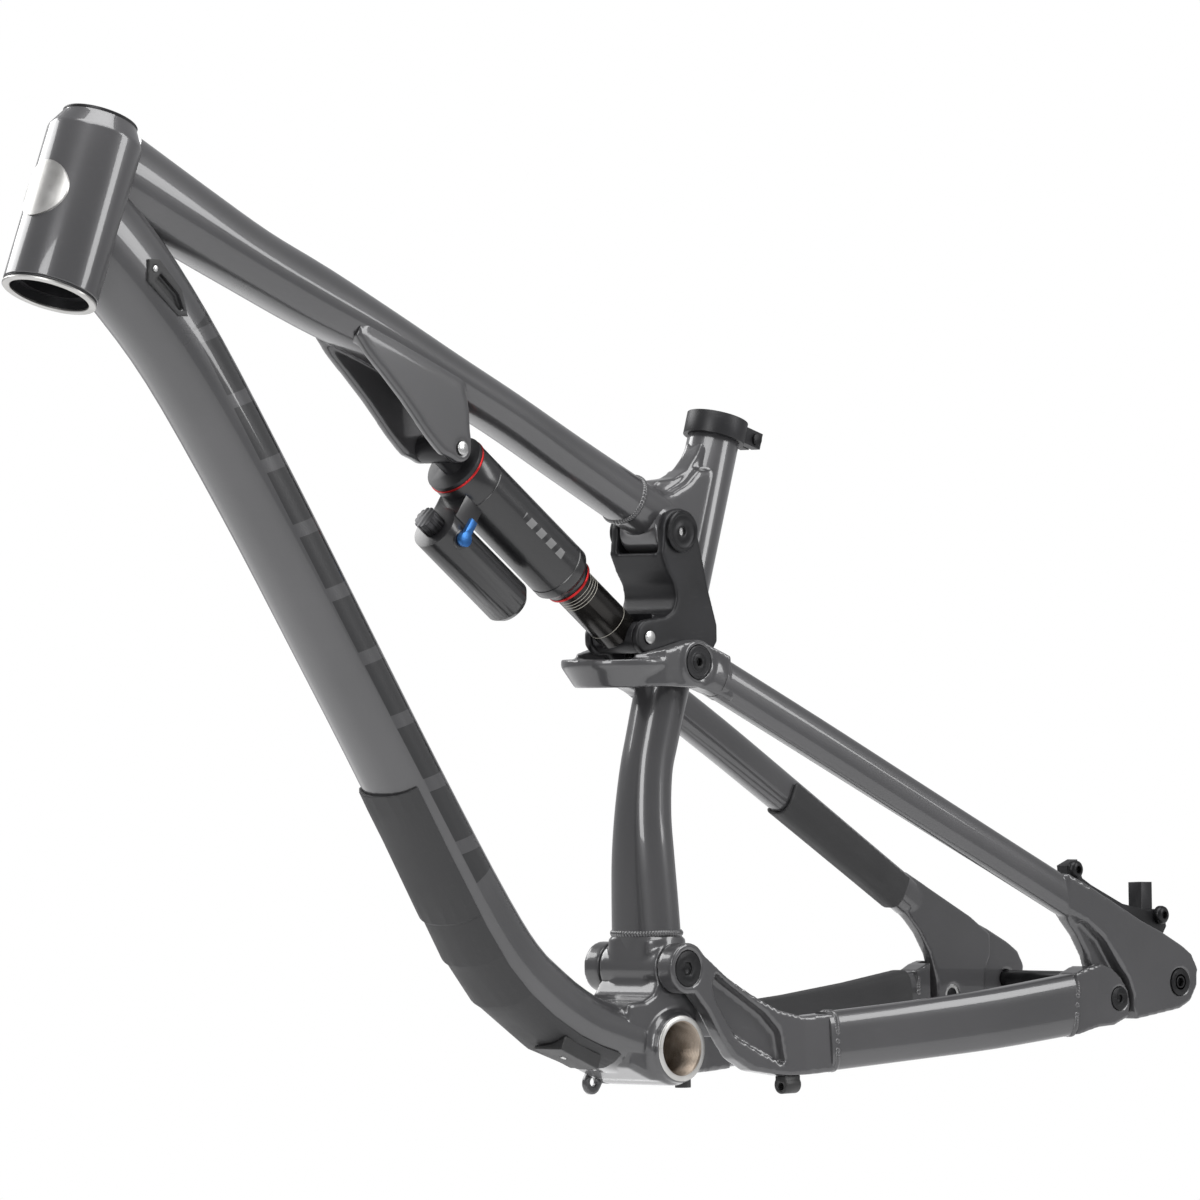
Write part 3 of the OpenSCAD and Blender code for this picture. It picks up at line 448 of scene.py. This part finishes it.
blueAnodised = makeFinish("blueAnodised", "blue_anodised", {
    "dark": (0.02, 0.09, 0.28), "light": (0.04, 0.16, 0.42), "worn": (0.3, 0.35, 0.45), "scuff": 0.2,
    "rough": (0.25, 0.34), "metal": 0.8, "fine": 2600, "broad": 60, "bump": 0.08})
greyAnodised = makeFinish("greyAnodised", "grey_anodised", {
    "dark": (0.03, 0.03, 0.032), "light": (0.05, 0.05, 0.053), "worn": (0.15, 0.15, 0.15), "scuff": 0.3,
    "rough": (0.3, 0.4), "metal": 0.7, "fine": 2600, "broad": 60, "bump": 0.12})
print("finishes made")


# front triangle

headTube = {"lean": (-0.3843, 0.9232), "at": (524.38, 495.87), "ring": True, "sides": 96,
            "profile": [(28, 3.5), (30.5, 3.5), (31, 4), (31, 107), (30.7, 108.6), (30, 110), (25.6, 117.6),
                        (24.8, 119), (24.5, 119.8), (23, 119.8), (23, 15), (28, 15)]}
finishPiece(turnPiece("headTube", headTube), "frame", greyPaint, ["head_tube"])

lowerCup = dict(headTube, profile=[(21, 7.5), (21, 14), (28, 14), (28, 3), (30.6, 3), (30.8, 2.4),
                                   (30.4, 1.6), (26, 1.6), (26, 7.5)])
finishPiece(turnPiece("lowerHeadsetCup", lowerCup), "frame", blackAnodised, ["lower_headset_cup"])
cupLip = dict(headTube, profile=[(26, 0.5), (26.4, 0), (30.5, 0), (31, 0.5), (31, 1.4), (30.6, 1.8),
                                 (26, 1.8)])
finishPiece(turnPiece("lowerCupLip", cupLip), "frame", bareAlloy)

upperCup = dict(headTube, profile=[(18, 110), (23, 110), (23, 120), (24.2, 120), (24.5, 120.4), (24.5, 121.5),
                                   (24, 122), (21.3, 122), (20.9, 121.6), (20.9, 114), (18, 114)])
finishPiece(turnPiece("upperHeadsetCup", upperCup), "frame", blackAnodised, ["upper_headset_cup"])


def headTubeCore():
    clearSelection()
    lean = math.atan2(headTube["lean"][0], headTube["lean"][1])
    (x, z), (leanX, leanZ), middle = headTube["at"], headTube["lean"], 61
    centre = Vector((x + leanX * middle, 0, z + leanZ * middle)) * mm
    bpy.ops.mesh.primitive_cylinder_add(vertices=96, radius=29 * mm, depth=180 * mm, location=centre,
                                        rotation=(0, lean, 0))
    return named("headTubeCore")


topTube = {"fullness": 2.4, "steps": 4, "stations": [
    (495, 0, 588, 22, 28.5), (461, 0, 572.5, 22, 27), (405, 0, 545.5, 22, 24.5), (351, 0, 520.5, 21.5, 22),
    (295, 0, 497, 21, 21.3), (235, 0, 472, 21, 18), (180, 0, 447.5, 20.5, 16), (124, 0, 422, 20, 15.2),
    (66, 0, 393, 18.4, 15.8), (9, 0, 365, 17.8, 16.6), (-18, 0, 352, 17.2, 17)]}
piece = sweepTube("topTube", topTube)
closeAndTurnOut(piece)
cutWith(piece, headTubeCore())
finishPiece(piece, "frame", greyPaint, ["top_tube"])

downTube = {"fullness": 2.5, "steps": 4, "stations": [
    (492, 0, 542, 24.5, 33), (455, 0, 508, 25, 31), (409, 0, 456, 26, 27), (346, 0, 369, 26.5, 24),
    (284, 0, 278, 27, 22.5), (222, 0, 186, 28, 21.5), (160, 0, 93.5, 29, 24), (124, 0, 52, 29.5, 24),
    (80, 0, 23, 30, 23), (46, 0, 10.5, 30, 22), (26, 0, 5, 29.5, 21.5)]}


def markedFinish(name, finish, row):
    # the finish with a row of plain blocks; after the turn X runs up along the row and Z across it
    material = finish.copy()
    material.name = name
    slotOf[name] = slotOf[finish.name]
    tree = material.node_tree
    shader = tree.nodes["Principled BSDF"]
    place = tree.nodes.new("ShaderNodeTexCoord").outputs["Object"]
    turn = tree.nodes.new("ShaderNodeMapping")
    turn.vector_type = "POINT"
    turn.inputs["Rotation"].default_value = (0, math.radians(row["turn"]), 0)
    tree.links.new(place, turn.inputs["Vector"])
    split = tree.nodes.new("ShaderNodeSeparateXYZ")
    tree.links.new(turn.outputs["Vector"], split.inputs["Vector"])
    along, across = split.outputs["X"], split.outputs["Z"]
    slant = mathNode(tree, "ADD", along, mathNode(tree, "MULTIPLY", across, row["slant"]))
    step = mathNode(tree, "FRACT", mathNode(tree, "DIVIDE", slant, row["pitch"] * mm))
    mask = mathNode(tree, "LESS_THAN", step, row["fill"])
    for value, limits in ((along, row["along"]), (across, row["across"])):
        low = mathNode(tree, "GREATER_THAN", value, limits[0] * mm)
        high = mathNode(tree, "LESS_THAN", value, limits[1] * mm)
        mask = mathNode(tree, "MULTIPLY", mask, mathNode(tree, "MULTIPLY", low, high))
    base = shader.inputs["Base Color"].links[0].from_socket
    tree.links.new(mixColor(tree, mask, base, row["colour"]), shader.inputs["Base Color"])
    return material


tubeBlocks = {"turn": 56, "slant": 0.35, "pitch": 50, "fill": 0.8, "along": (197, 631), "across": (-86, -50),
              "colour": (0.016, 0.016, 0.017)}
piece = sweepTube("downTube", downTube)
closeAndTurnOut(piece)
cutWith(piece, headTubeCore())
portSpace = {"at": (444, 498), "lean": (23, 22), "long": 30, "wide": 8, "sides": (22.8, 40)}
for side in (1, -1):
    clearSelection()
    near, far = portSpace["sides"]
    bpy.ops.mesh.primitive_cube_add(size=mm, location=Vector((
        portSpace["at"][0], side * (near + far) / 2, portSpace["at"][1])) * mm,
        rotation=(0, math.atan2(*portSpace["lean"]), 0),
        scale=(portSpace["wide"], far - near, portSpace["long"]))
    cutWith(piece, named("portSpace"))
finishPiece(piece, "frame", markedFinish("greyPaintBlocks", greyPaint, tubeBlocks), ["down_tube"])

lowerSeatTube = {"fullness": 2.2, "steps": 5, "stations": [
    (-26.9, 0, 248.8, 17.45, 17.45), (-20.6, 0, 229, 17.4, 17.4), (-12.9, 0, 204, 17.2, 17),
    (-7.2, 0, 184, 17.6, 16.6), (-3.5, 0, 155, 19.6, 17.2), (-3, 0, 126, 22.4, 18.2), (-4, 0, 97, 24.3, 18.6),
    (-5.3, 0, 66, 26, 18.5)]}
piece = sweepTube("lowerSeatTube", lowerSeatTube)
closeAndTurnOut(piece)
finishPiece(piece, "frame", greyPaint, ["lower_seat_tube"])

upperSeatTube = {"lean": (-0.3057, 0.9521), "at": (-25.31, 244), "ring": True, "sides": 80,
                 "profile": [(15.45, 0), (17.45, 0), (17.45, 183.1), (17, 183.8), (15.8, 183.8),
                             (15.45, 183.4)]}
finishPiece(turnPiece("upperSeatTube", upperSeatTube), "frame", greyPaint, ["upper_seat_tube"])

mountStub = stub("mountStub", dict(topTube, grow=-0.3), [
    (265, 0, 484.5, 21, 19.6), (235, 0, 472, 21, 18), (180, 0, 447.5, 20.5, 16), (150, 0, 434.5, 20.3, 15.6)])
finishPiece(forgePiece("shockMountYoke", ["shock_mount_yoke"], 1.2, 26, [mountStub]), "frame", greyPaint,
            ["shock_mount_yoke"])

seatLine = {"lean": upperSeatTube["lean"], "at": upperSeatTube["at"]}
gussetStub = stub("gussetStub", dict(topTube, grow=-0.3), [
    (66, 0, 393, 18.4, 15.8), (9, 0, 365, 17.8, 16.6), (-18, 0, 352, 17.2, 17), (-30, 0, 346, 16.5, 16.5)])
tubeCore = barAlong("tubeCore", dict(seatLine, radius=17.35, along=(45, 160)))
piece = forgePiece("seatTubeGusset", ["seat_tube_gusset", "rocker_pivot_housing"], 1.1, 26,
                   [tubeCore, gussetStub])
cutWith(piece, barAlong("seatpostSpace", dict(seatLine, radius=15.6, along=(0, 200))))
finishPiece(piece, "frame", greyPaint, ["seat_tube_gusset", "rocker_pivot_housing"])

rootStub = stub("rootStub", dict(downTube, grow=-0.3), [
    (124, 0, 52, 29.5, 24), (80, 0, 23, 30, 23), (46, 0, 10.5, 30, 22), (26, 0, 5, 29.5, 21.5),
    (6, 0, 1, 29, 20)])
footStub = stub("footStub", dict(lowerSeatTube, grow=-0.2), [
    (-4, 0, 97, 24.3, 18.6), (-5.3, 0, 66, 26, 18.5), (-5.3, 0, 40, 26, 18.5)])
piece = forgePiece("bottomForging", ["bb_forging", "main_pivot_housing", "bb_shell"], 1.2, 14,
                   [rootStub, footStub])
cutWith(piece, crosswaysBar("shellSpace", {"at": (0, 0), "radius": 21.95, "length": 120}))
for side in (1, -1):
    face = crosswaysBar("faceSpace", {"at": (0, 0), "radius": 40, "length": 20})
    face.location.y = side * (36.2 + 10) * mm
    cutWith(piece, face)
finishPiece(piece, "frame", greyPaint, ["bb_forging", "main_pivot_housing"])
finishPiece(forgePiece("chainGuideTabs", ["iscg_mount"], 0.8, 6), "frame", greyPaint, ["iscg_mount"])

bottomShell = {"crossways": True, "at": (0, 0), "ring": True, "sides": 96, "profile": [
    (18.3, -36.5), (21.6, -36.5), (21.9, -36.2), (21.9, 36.2), (21.6, 36.5), (18.3, 36.5)]}
finishPiece(turnPiece("bottomShell", bottomShell), "frame", bareAlloy, ["bb_shell"], 60)
threads = [(17.9 if k % 2 else 17.4, 35.6 - 0.7 * k) for k in range(102)]
threadSleeve = dict(bottomShell, profile=[(18.3, -36.2), (18.3, 36.3)] + threads)
finishPiece(turnPiece("bottomThreads", threadSleeve), "frame", threadAlloy, angle=60)

for name, ring in {
    "seatTubeFootWeld": {"at": (-5.2, 0, 76), "wide": 24.6, "high": 17.2, "fullness": 2.2, "lean": -90,
                         "beads": 64, "size": 2.6},
    "topTubeWeld": {"at": (9, 0, 365), "wide": 16.6, "high": 15.5, "fullness": 2.4, "lean": 25, "beads": 52,
                    "size": 2.6}}.items():
    finishPiece(weldRing(name, ring), "frame", greyPaint)

# the guard's outer face rises to a lip and drops again three times
guardSteps = {"fullness": 2.5, "steps": 1, "sides": 48, "stations": [
    (236, 0, 207, 30.8, 24.1), (200, 0, 153.5, 30.9, 24.6), (166.5, 0, 103, 31.3, 26.3),
    (165.8, 0, 102, 29.9, 24.9),
    (146.5, 0, 76, 31.7, 26.6), (145.8, 0, 75, 30.3, 25.2), (122.5, 0, 50.8, 31.9, 26.5),
    (121.5, 0, 50, 30.6, 25.2),
    (80, 0, 23, 32.4, 25.4), (46, 0, 10.5, 32.4, 24.4), (20, 0, 3, 32.4, 24.4)]}
piece = forgePiece("downTubeGuard", ["down_tube_guard"], 0.8, 2)
steps = stub("guardSteps", guardSteps, guardSteps["stations"])
applyModifier(piece, "BOOLEAN", operation="INTERSECT", solver="EXACT", object=steps)
bpy.data.objects.remove(steps)
finishPiece(piece, "frame", rubberBlack, ["down_tube_guard"], 30)
finishPiece(forgePiece("cablePortCovers", ["cable_port_covers"], 0.6, 5), "frame", plasticBlack,
            ["cable_port_covers"])
finishPiece(forgePiece("cableExitCover", ["cable_exit_cover"], 0.7, 6), "frame", plasticBlack,
            ["cable_exit_cover"])
finishPiece(machinePiece("coverScrews", ["cable_cover_screws"], 0.3), "frame", brightSteel,
            ["cable_cover_screws"])
finishPiece(machinePiece("drainPlug", ["drain_plug"], 1.6), "frame", rubberBlack, ["drain_plug"])
finishPiece(machinePiece("seatClamp", ["seat_clamp"], 0.8), "frame", blackAnodised, ["seat_clamp"])
finishPiece(machinePiece("seatClampBolt", ["seat_clamp_bolt"], 0.4), "frame", blackSteel, ["seat_clamp_bolt"])


def turnedHeads(name, head):
    # the same head on each side it is wanted, joined to one piece
    made = []
    for side in head["sides"]:
        for at in head["places"]:
            profile = [(radius, along * side) for radius, along in head["profile"]]
            made.append(turnPiece(name, {"crossways": True, "at": at, "ring": head.get("ring"),
                                         "profile": profile}))
    clearSelection()
    for piece in made:
        piece.select_set(True)
    bpy.context.view_layer.objects.active = made[0]
    if len(made) > 1:
        bpy.ops.object.join()
    return named(name)


rockerCaps = {"sides": (1, -1), "places": [(-18, 343)], "ring": True, "profile": [
    (3, 25.6), (14, 25.6), (14, 27.2), (13.3, 28), (11.6, 28), (11.1, 27.5), (10.4, 27.3), (4.4, 26.9),
    (3.8, 27.3), (3.2, 27.2), (3, 26.9)]}
finishPiece(turnedHeads("rockerPivotCaps", rockerCaps), "frame", blackSteel, ["rocker_pivot_caps"])
finishPiece(machinePiece("shockUpperBolt", ["shock_upper_bolt"], 0.5), "frame", brightSteel,
            ["shock_upper_bolt"])
print("front triangle made")

# chainstay

chainstay = {"fullness": 4, "steps": 4, "stations": [
    (-122, 49.3, -0.4, 9, 20), (-200, 57.5, 4, 8.5, 20), (-270, 66.5, 9, 8.5, 20.5),
    (-344, 74.8, 16.5, 8.5, 21)]}
for name, side in (("left", 1), ("right", -1)):
    piece = sweepTube(name + "Chainstay", dict(chainstay, stations=onSide(chainstay["stations"], side)))
    closeAndTurnOut(piece)
    finishPiece(piece, "chainstay", greyPaint, [name + "_chainstay"])
    finishPiece(forgePiece(name + "ChainstayEnd", [name + "_chainstay_end"], 1.0, 7), "chainstay", greyPaint,
                [name + "_chainstay_end"])
    for weld, ring in {
        "FrontWeld": {"at": (-127, 49.9 * side, -0.1), "wide": 7.9, "high": 18.8, "fullness": 4, "lean": 0,
                      "beads": 60, "size": 2.4},
        "RearWeld": {"at": (-341, 74.4 * side, 16), "wide": 7.4, "high": 19.8, "fullness": 4, "lean": 5,
                     "beads": 60, "size": 2.4}}.items():
        finishPiece(weldRing(name + weld, ring), "chainstay", greyPaint)
finishPiece(forgePiece("chainstayYoke", ["chainstay_yoke"], 1.2, 11), "chainstay", greyPaint,
            ["chainstay_yoke"])
finishPiece(machinePiece("mainPivotBolts", ["main_pivot_bolts"], 0.8), "chainstay", blackSteel,
            ["main_pivot_bolts"])
finishPiece(machinePiece("horstBolts", ["horst_bolts"], 0.6), "chainstay", blackSteel, ["horst_bolts"])
finishPiece(forgePiece("chainstayGuard", ["chainstay_guard"], 0.9, 4), "chainstay", rubberBlack,
            ["chainstay_guard"])
finishPiece(machinePiece("cableClip", ["cable_clip"], 0.6), "chainstay", plasticBlack, ["cable_clip"])
print("chainstay made")

# seatstay

seatstay = {"fullness": 2.86, "steps": 4, "stations": [
    (-40, 36, 245, 9, 13.8), (-120, 45.5, 204, 9, 13.8), (-200, 56, 162, 8.5, 13.5), (-280, 67, 120, 8.5, 13),
    (-340, 75.2, 88.4, 8, 13)]}
yokeStubs = []
for name, side in (("left", 1), ("right", -1)):
    piece = sweepTube(name + "Seatstay", dict(seatstay, stations=onSide(seatstay["stations"], side)))
    closeAndTurnOut(piece)
    finishPiece(piece, "seatstay", greyPaint, [name + "_seatstay"])
    yokeStubs.append(stub("yokeStub", dict(seatstay, grow=-0.15), onSide([
        (-30, 34.8, 250, 8.6, 13.6), (-60, 38.3, 234.8, 9, 13.8), (-95, 42.4, 217.2, 9, 13.8)], side)))
    dropoutStub = stub("dropoutStub", dict(seatstay, grow=-0.15), onSide([
        (-300, 69.8, 109.5, 8.3, 13), (-334, 74.4, 91.5, 8, 13), (-352, 76.8, 82, 7.6, 12.4)], side))
    finishPiece(forgePiece(name + "Dropout", [name + "_dropout"], 1.1, 14, [dropoutStub]), "seatstay",
                greyPaint, [name + "_dropout"])
finishPiece(forgePiece("seatstayYoke", ["seatstay_yoke"], 1.0, 16, yokeStubs), "seatstay", greyPaint,
            ["seatstay_yoke"])
flipChips = {"sides": (1, -1), "places": [(-18.5, 256)], "ring": True, "profile": [
    (6, 33), (11.2, 33), (11.2, 39.8), (10.7, 40.3), (9.9, 40.3), (9.6, 39.9), (7.3, 39.8), (7, 40.2),
    (6, 40.2)]}
finishPiece(turnedHeads("flipChips", flipChips), "seatstay", blackAnodised, ["flip_chips"])
finishPiece(machinePiece("seatstayPivotBolts", ["seatstay_pivot_bolts"], 0.5), "seatstay", blackSteel,
            ["seatstay_pivot_bolts"])
finishPiece(machinePiece("derailleurHanger", ["derailleur_hanger"], 0.6), "seatstay", blackAnodised,
            ["derailleur_hanger"])
finishPiece(machinePiece("rearAxle", ["rear_axle"], 0.5), "seatstay", blackSteel, ["rear_axle"])
axleRing = {"sides": (1,), "places": [(-441.11, 28)], "ring": True, "profile": [
    (4, 87), (5.6, 87), (5.6, 88.3), (5.4, 88.5), (4.2, 88.5), (4, 88.3)]}
finishPiece(turnedHeads("axleRing", axleRing), "seatstay", bareAlloy)
finishPiece(forgePiece("seatstayGuard", ["seatstay_guard"], 0.9, 4), "seatstay", rubberBlack,
            ["seatstay_guard"])
finishPiece(machinePiece("brakeAdapter", ["brake_adapter"], 0.8), "seatstay", blackAnodised,
            ["brake_adapter"])
adapterBolts = {"sides": (1,), "places": [(-354, 108), (-442, 74)], "profile": [
    (3, 60), (3, 69), (6.4, 69), (6.4, 71), (6, 72.4), (5, 73.4), (3.4, 74), (2.6, 74), (2.6, 71.5)]}
finishPiece(turnedHeads("brakeAdapterBolts", adapterBolts), "seatstay", blackSteel, ["brake_adapter_bolts"])
print("seatstay made")

# rocker and shock

finishPiece(forgePiece("rockerLink", ["rocker_link"], 1.0, 22), "rocker", blackAnodised, ["rocker_link"])
finishPiece(machinePiece("shockLowerBolts", ["shock_lower_bolts"], 0.5), "rocker", brightSteel,
            ["shock_lower_bolts"])

shockLine = {"lean": (-0.8, -0.6), "at": (181, 399)}
airCan = dict(shockLine, sides=96, ring=True, profile=[
    (14.26, 32), (14.26, 145.5), (16.2, 145.5), (17, 144.8), (17, 142.6), (17.4, 141.8), (20.4, 138.4),
    (21, 137.4), (21, 131), (20.5, 130.6), (20.5, 129.6), (21, 129.2), (21, 40.4), (20.4, 40), (20.4, 39),
    (21, 38.6), (21, 21.2), (20.6, 20.6), (15, 20.6), (15, 32)])
canBars = {"turn": 36.87, "slant": 0.3, "pitch": 11, "fill": 0.6, "along": (268, 312), "across": (206, 212),
           "colour": (0.16, 0.16, 0.16)}
finishPiece(turnPiece("airCan", airCan), "shock_body", markedFinish("glossBlackBars", glossBlack, canBars),
            ["air_can"], 50)
finishPiece(machinePiece("shockHead", ["shock_head"], 0.7), "shock_body", blackAnodised, ["shock_head"])
finishPiece(machinePiece("shockAccentRings", ["shock_accent_rings"], 0.3), "shock_body", redAnodised,
            ["shock_accent_rings"])
finishPiece(machinePiece("reservoir", ["reservoir"], 0.9), "shock_body", glossBlack, ["reservoir"])
finishPiece(machinePiece("shockShaft", ["shock_shaft"], 0.4), "shock_shaft", shaftBlack, ["shock_shaft"])
for k, along in enumerate((152.5, 155, 157.5, 160, 191)):
    mark = dict(shockLine, sides=96, ring=True, profile=[
        (14, along), (14.24, along), (14.24, along + 0.35), (14, along + 0.35)])
    finishPiece(turnPiece("shaftMark" + str(k), mark), "shock_shaft", paleMark)
finishPiece(machinePiece("shockLowerEye", ["shock_lower_eye"], 0.5), "shock_shaft", blackAnodised,
            ["shock_lower_eye"])
finishPiece(machinePiece("lockoutLever", ["lockout_lever"], 0.6), "lockout_lever", blueAnodised,
            ["lockout_lever"])
finishPiece(machinePiece("adjusterDial", ["adjuster_dial"], 0.4), "adjuster_dial", greyAnodised,
            ["adjuster_dial"])
print("shock made")

# the nodes that stay as they are get their finishes

keptFinish = {"head_badge": bareAlloy, "main_pivot_bearings": brightSteel, "rocker_axle": brightSteel,
              "main_pivot_axle": brightSteel, "horst_bearings": brightSteel, "rocker_bearings": brightSteel}
for name, material in keptFinish.items():
    nodes[name].data.materials.clear()
    nodes[name].data.materials.append(material)

# floor, light and camera

studio = {"floorDrop": -345, "floorSize": 5, "worldLight": 0.42}
clearSelection()
bpy.ops.mesh.primitive_plane_add(size=studio["floorSize"], location=(0, 0, studio["floorDrop"] * mm))
floor = named("floor")
floorPaint = bpy.data.materials.new("palePaper")
floorPaint.use_nodes = True
floorPaint.node_tree.nodes["Principled BSDF"].inputs["Base Color"].default_value = (0.9, 0.9, 0.9, 1)
floorPaint.node_tree.nodes["Principled BSDF"].inputs["Roughness"].default_value = 0.9
floor.data.materials.append(floorPaint)

world = bpy.data.worlds.new("softStudio")
bpy.context.scene.world = world
world.use_nodes = True
tree = world.node_tree
backdrop = tree.nodes["Background"]
backdrop.inputs["Color"].default_value = (1, 1, 1, 1)
backdrop.inputs["Strength"].default_value = 1.0
ambient = tree.nodes.new("ShaderNodeBackground")
ambient.inputs["Color"].default_value = (0.98, 0.98, 1, 1)
ambient.inputs["Strength"].default_value = studio["worldLight"]
ray = tree.nodes.new("ShaderNodeLightPath")
pickWorld = tree.nodes.new("ShaderNodeMixShader")
tree.links.new(ray.outputs["Is Camera Ray"], pickWorld.inputs["Fac"])
tree.links.new(ambient.outputs[0], pickWorld.inputs[1])
tree.links.new(backdrop.outputs[0], pickWorld.inputs[2])
tree.links.new(pickWorld.outputs[0], tree.nodes["World Output"].inputs["Surface"])


def softBox(name, box):
    light = bpy.data.lights.new(name, "AREA")
    light.shape = "RECTANGLE"
    light.size, light.size_y = box["size"]
    light.energy = box["power"]
    lamp = bpy.data.objects.new(name, light)
    bpy.context.scene.collection.objects.link(lamp)
    lamp.location = box["place"]
    lamp.rotation_euler = (Vector(box["place"]) - Vector((0.05, 0, 0.3))).to_track_quat("Z", "Y").to_euler()


for name, box in {
    "topBox": {"place": (0.3, 0.6, 2.6), "size": (2.4, 1.6), "power": 60},
    "sideBox": {"place": (2.6, 1.0, 1.3), "size": (0.9, 1.8), "power": 35},
    "rearBox": {"place": (-1.6, 2.4, 1.4), "size": (0.9, 1.8), "power": 30},
    "rimBox": {"place": (0.6, -2.4, 1.6), "size": (2.0, 1.0), "power": 30}}.items():
    softBox(name, box)

view = {"azimuth": 134.57, "elevation": 0.08, "roll": -0.92, "lens": 313.52, "distance": 6933.9,
        "target": (33.95, 0, 298.3)}
azimuth, elevation, roll = (math.radians(view[key]) for key in ("azimuth", "elevation", "roll"))
back = Vector((math.sin(azimuth) * math.cos(elevation), -math.cos(azimuth) * math.cos(elevation),
               math.sin(elevation)))
right = Vector((math.cos(azimuth), math.sin(azimuth), 0))
up = back.cross(right)
camera = bpy.data.objects.new("camera", bpy.data.cameras.new("camera"))
bpy.context.scene.collection.objects.link(camera)
camera.data.lens = view["lens"]
camera.data.sensor_width = 36
camera.data.clip_end = 100
place = Vector(view["target"]) * mm + back * view["distance"] * mm
rightTurned = right * math.cos(roll) + up * math.sin(roll)
upTurned = up * math.cos(roll) - right * math.sin(roll)
camera.matrix_world = Matrix.Translation(place) @ Matrix((rightTurned, upTurned, back)).transposed().to_4x4()
bpy.context.scene.camera = camera
bpy.context.scene.view_settings.view_transform = "Standard"
print("studio ready")
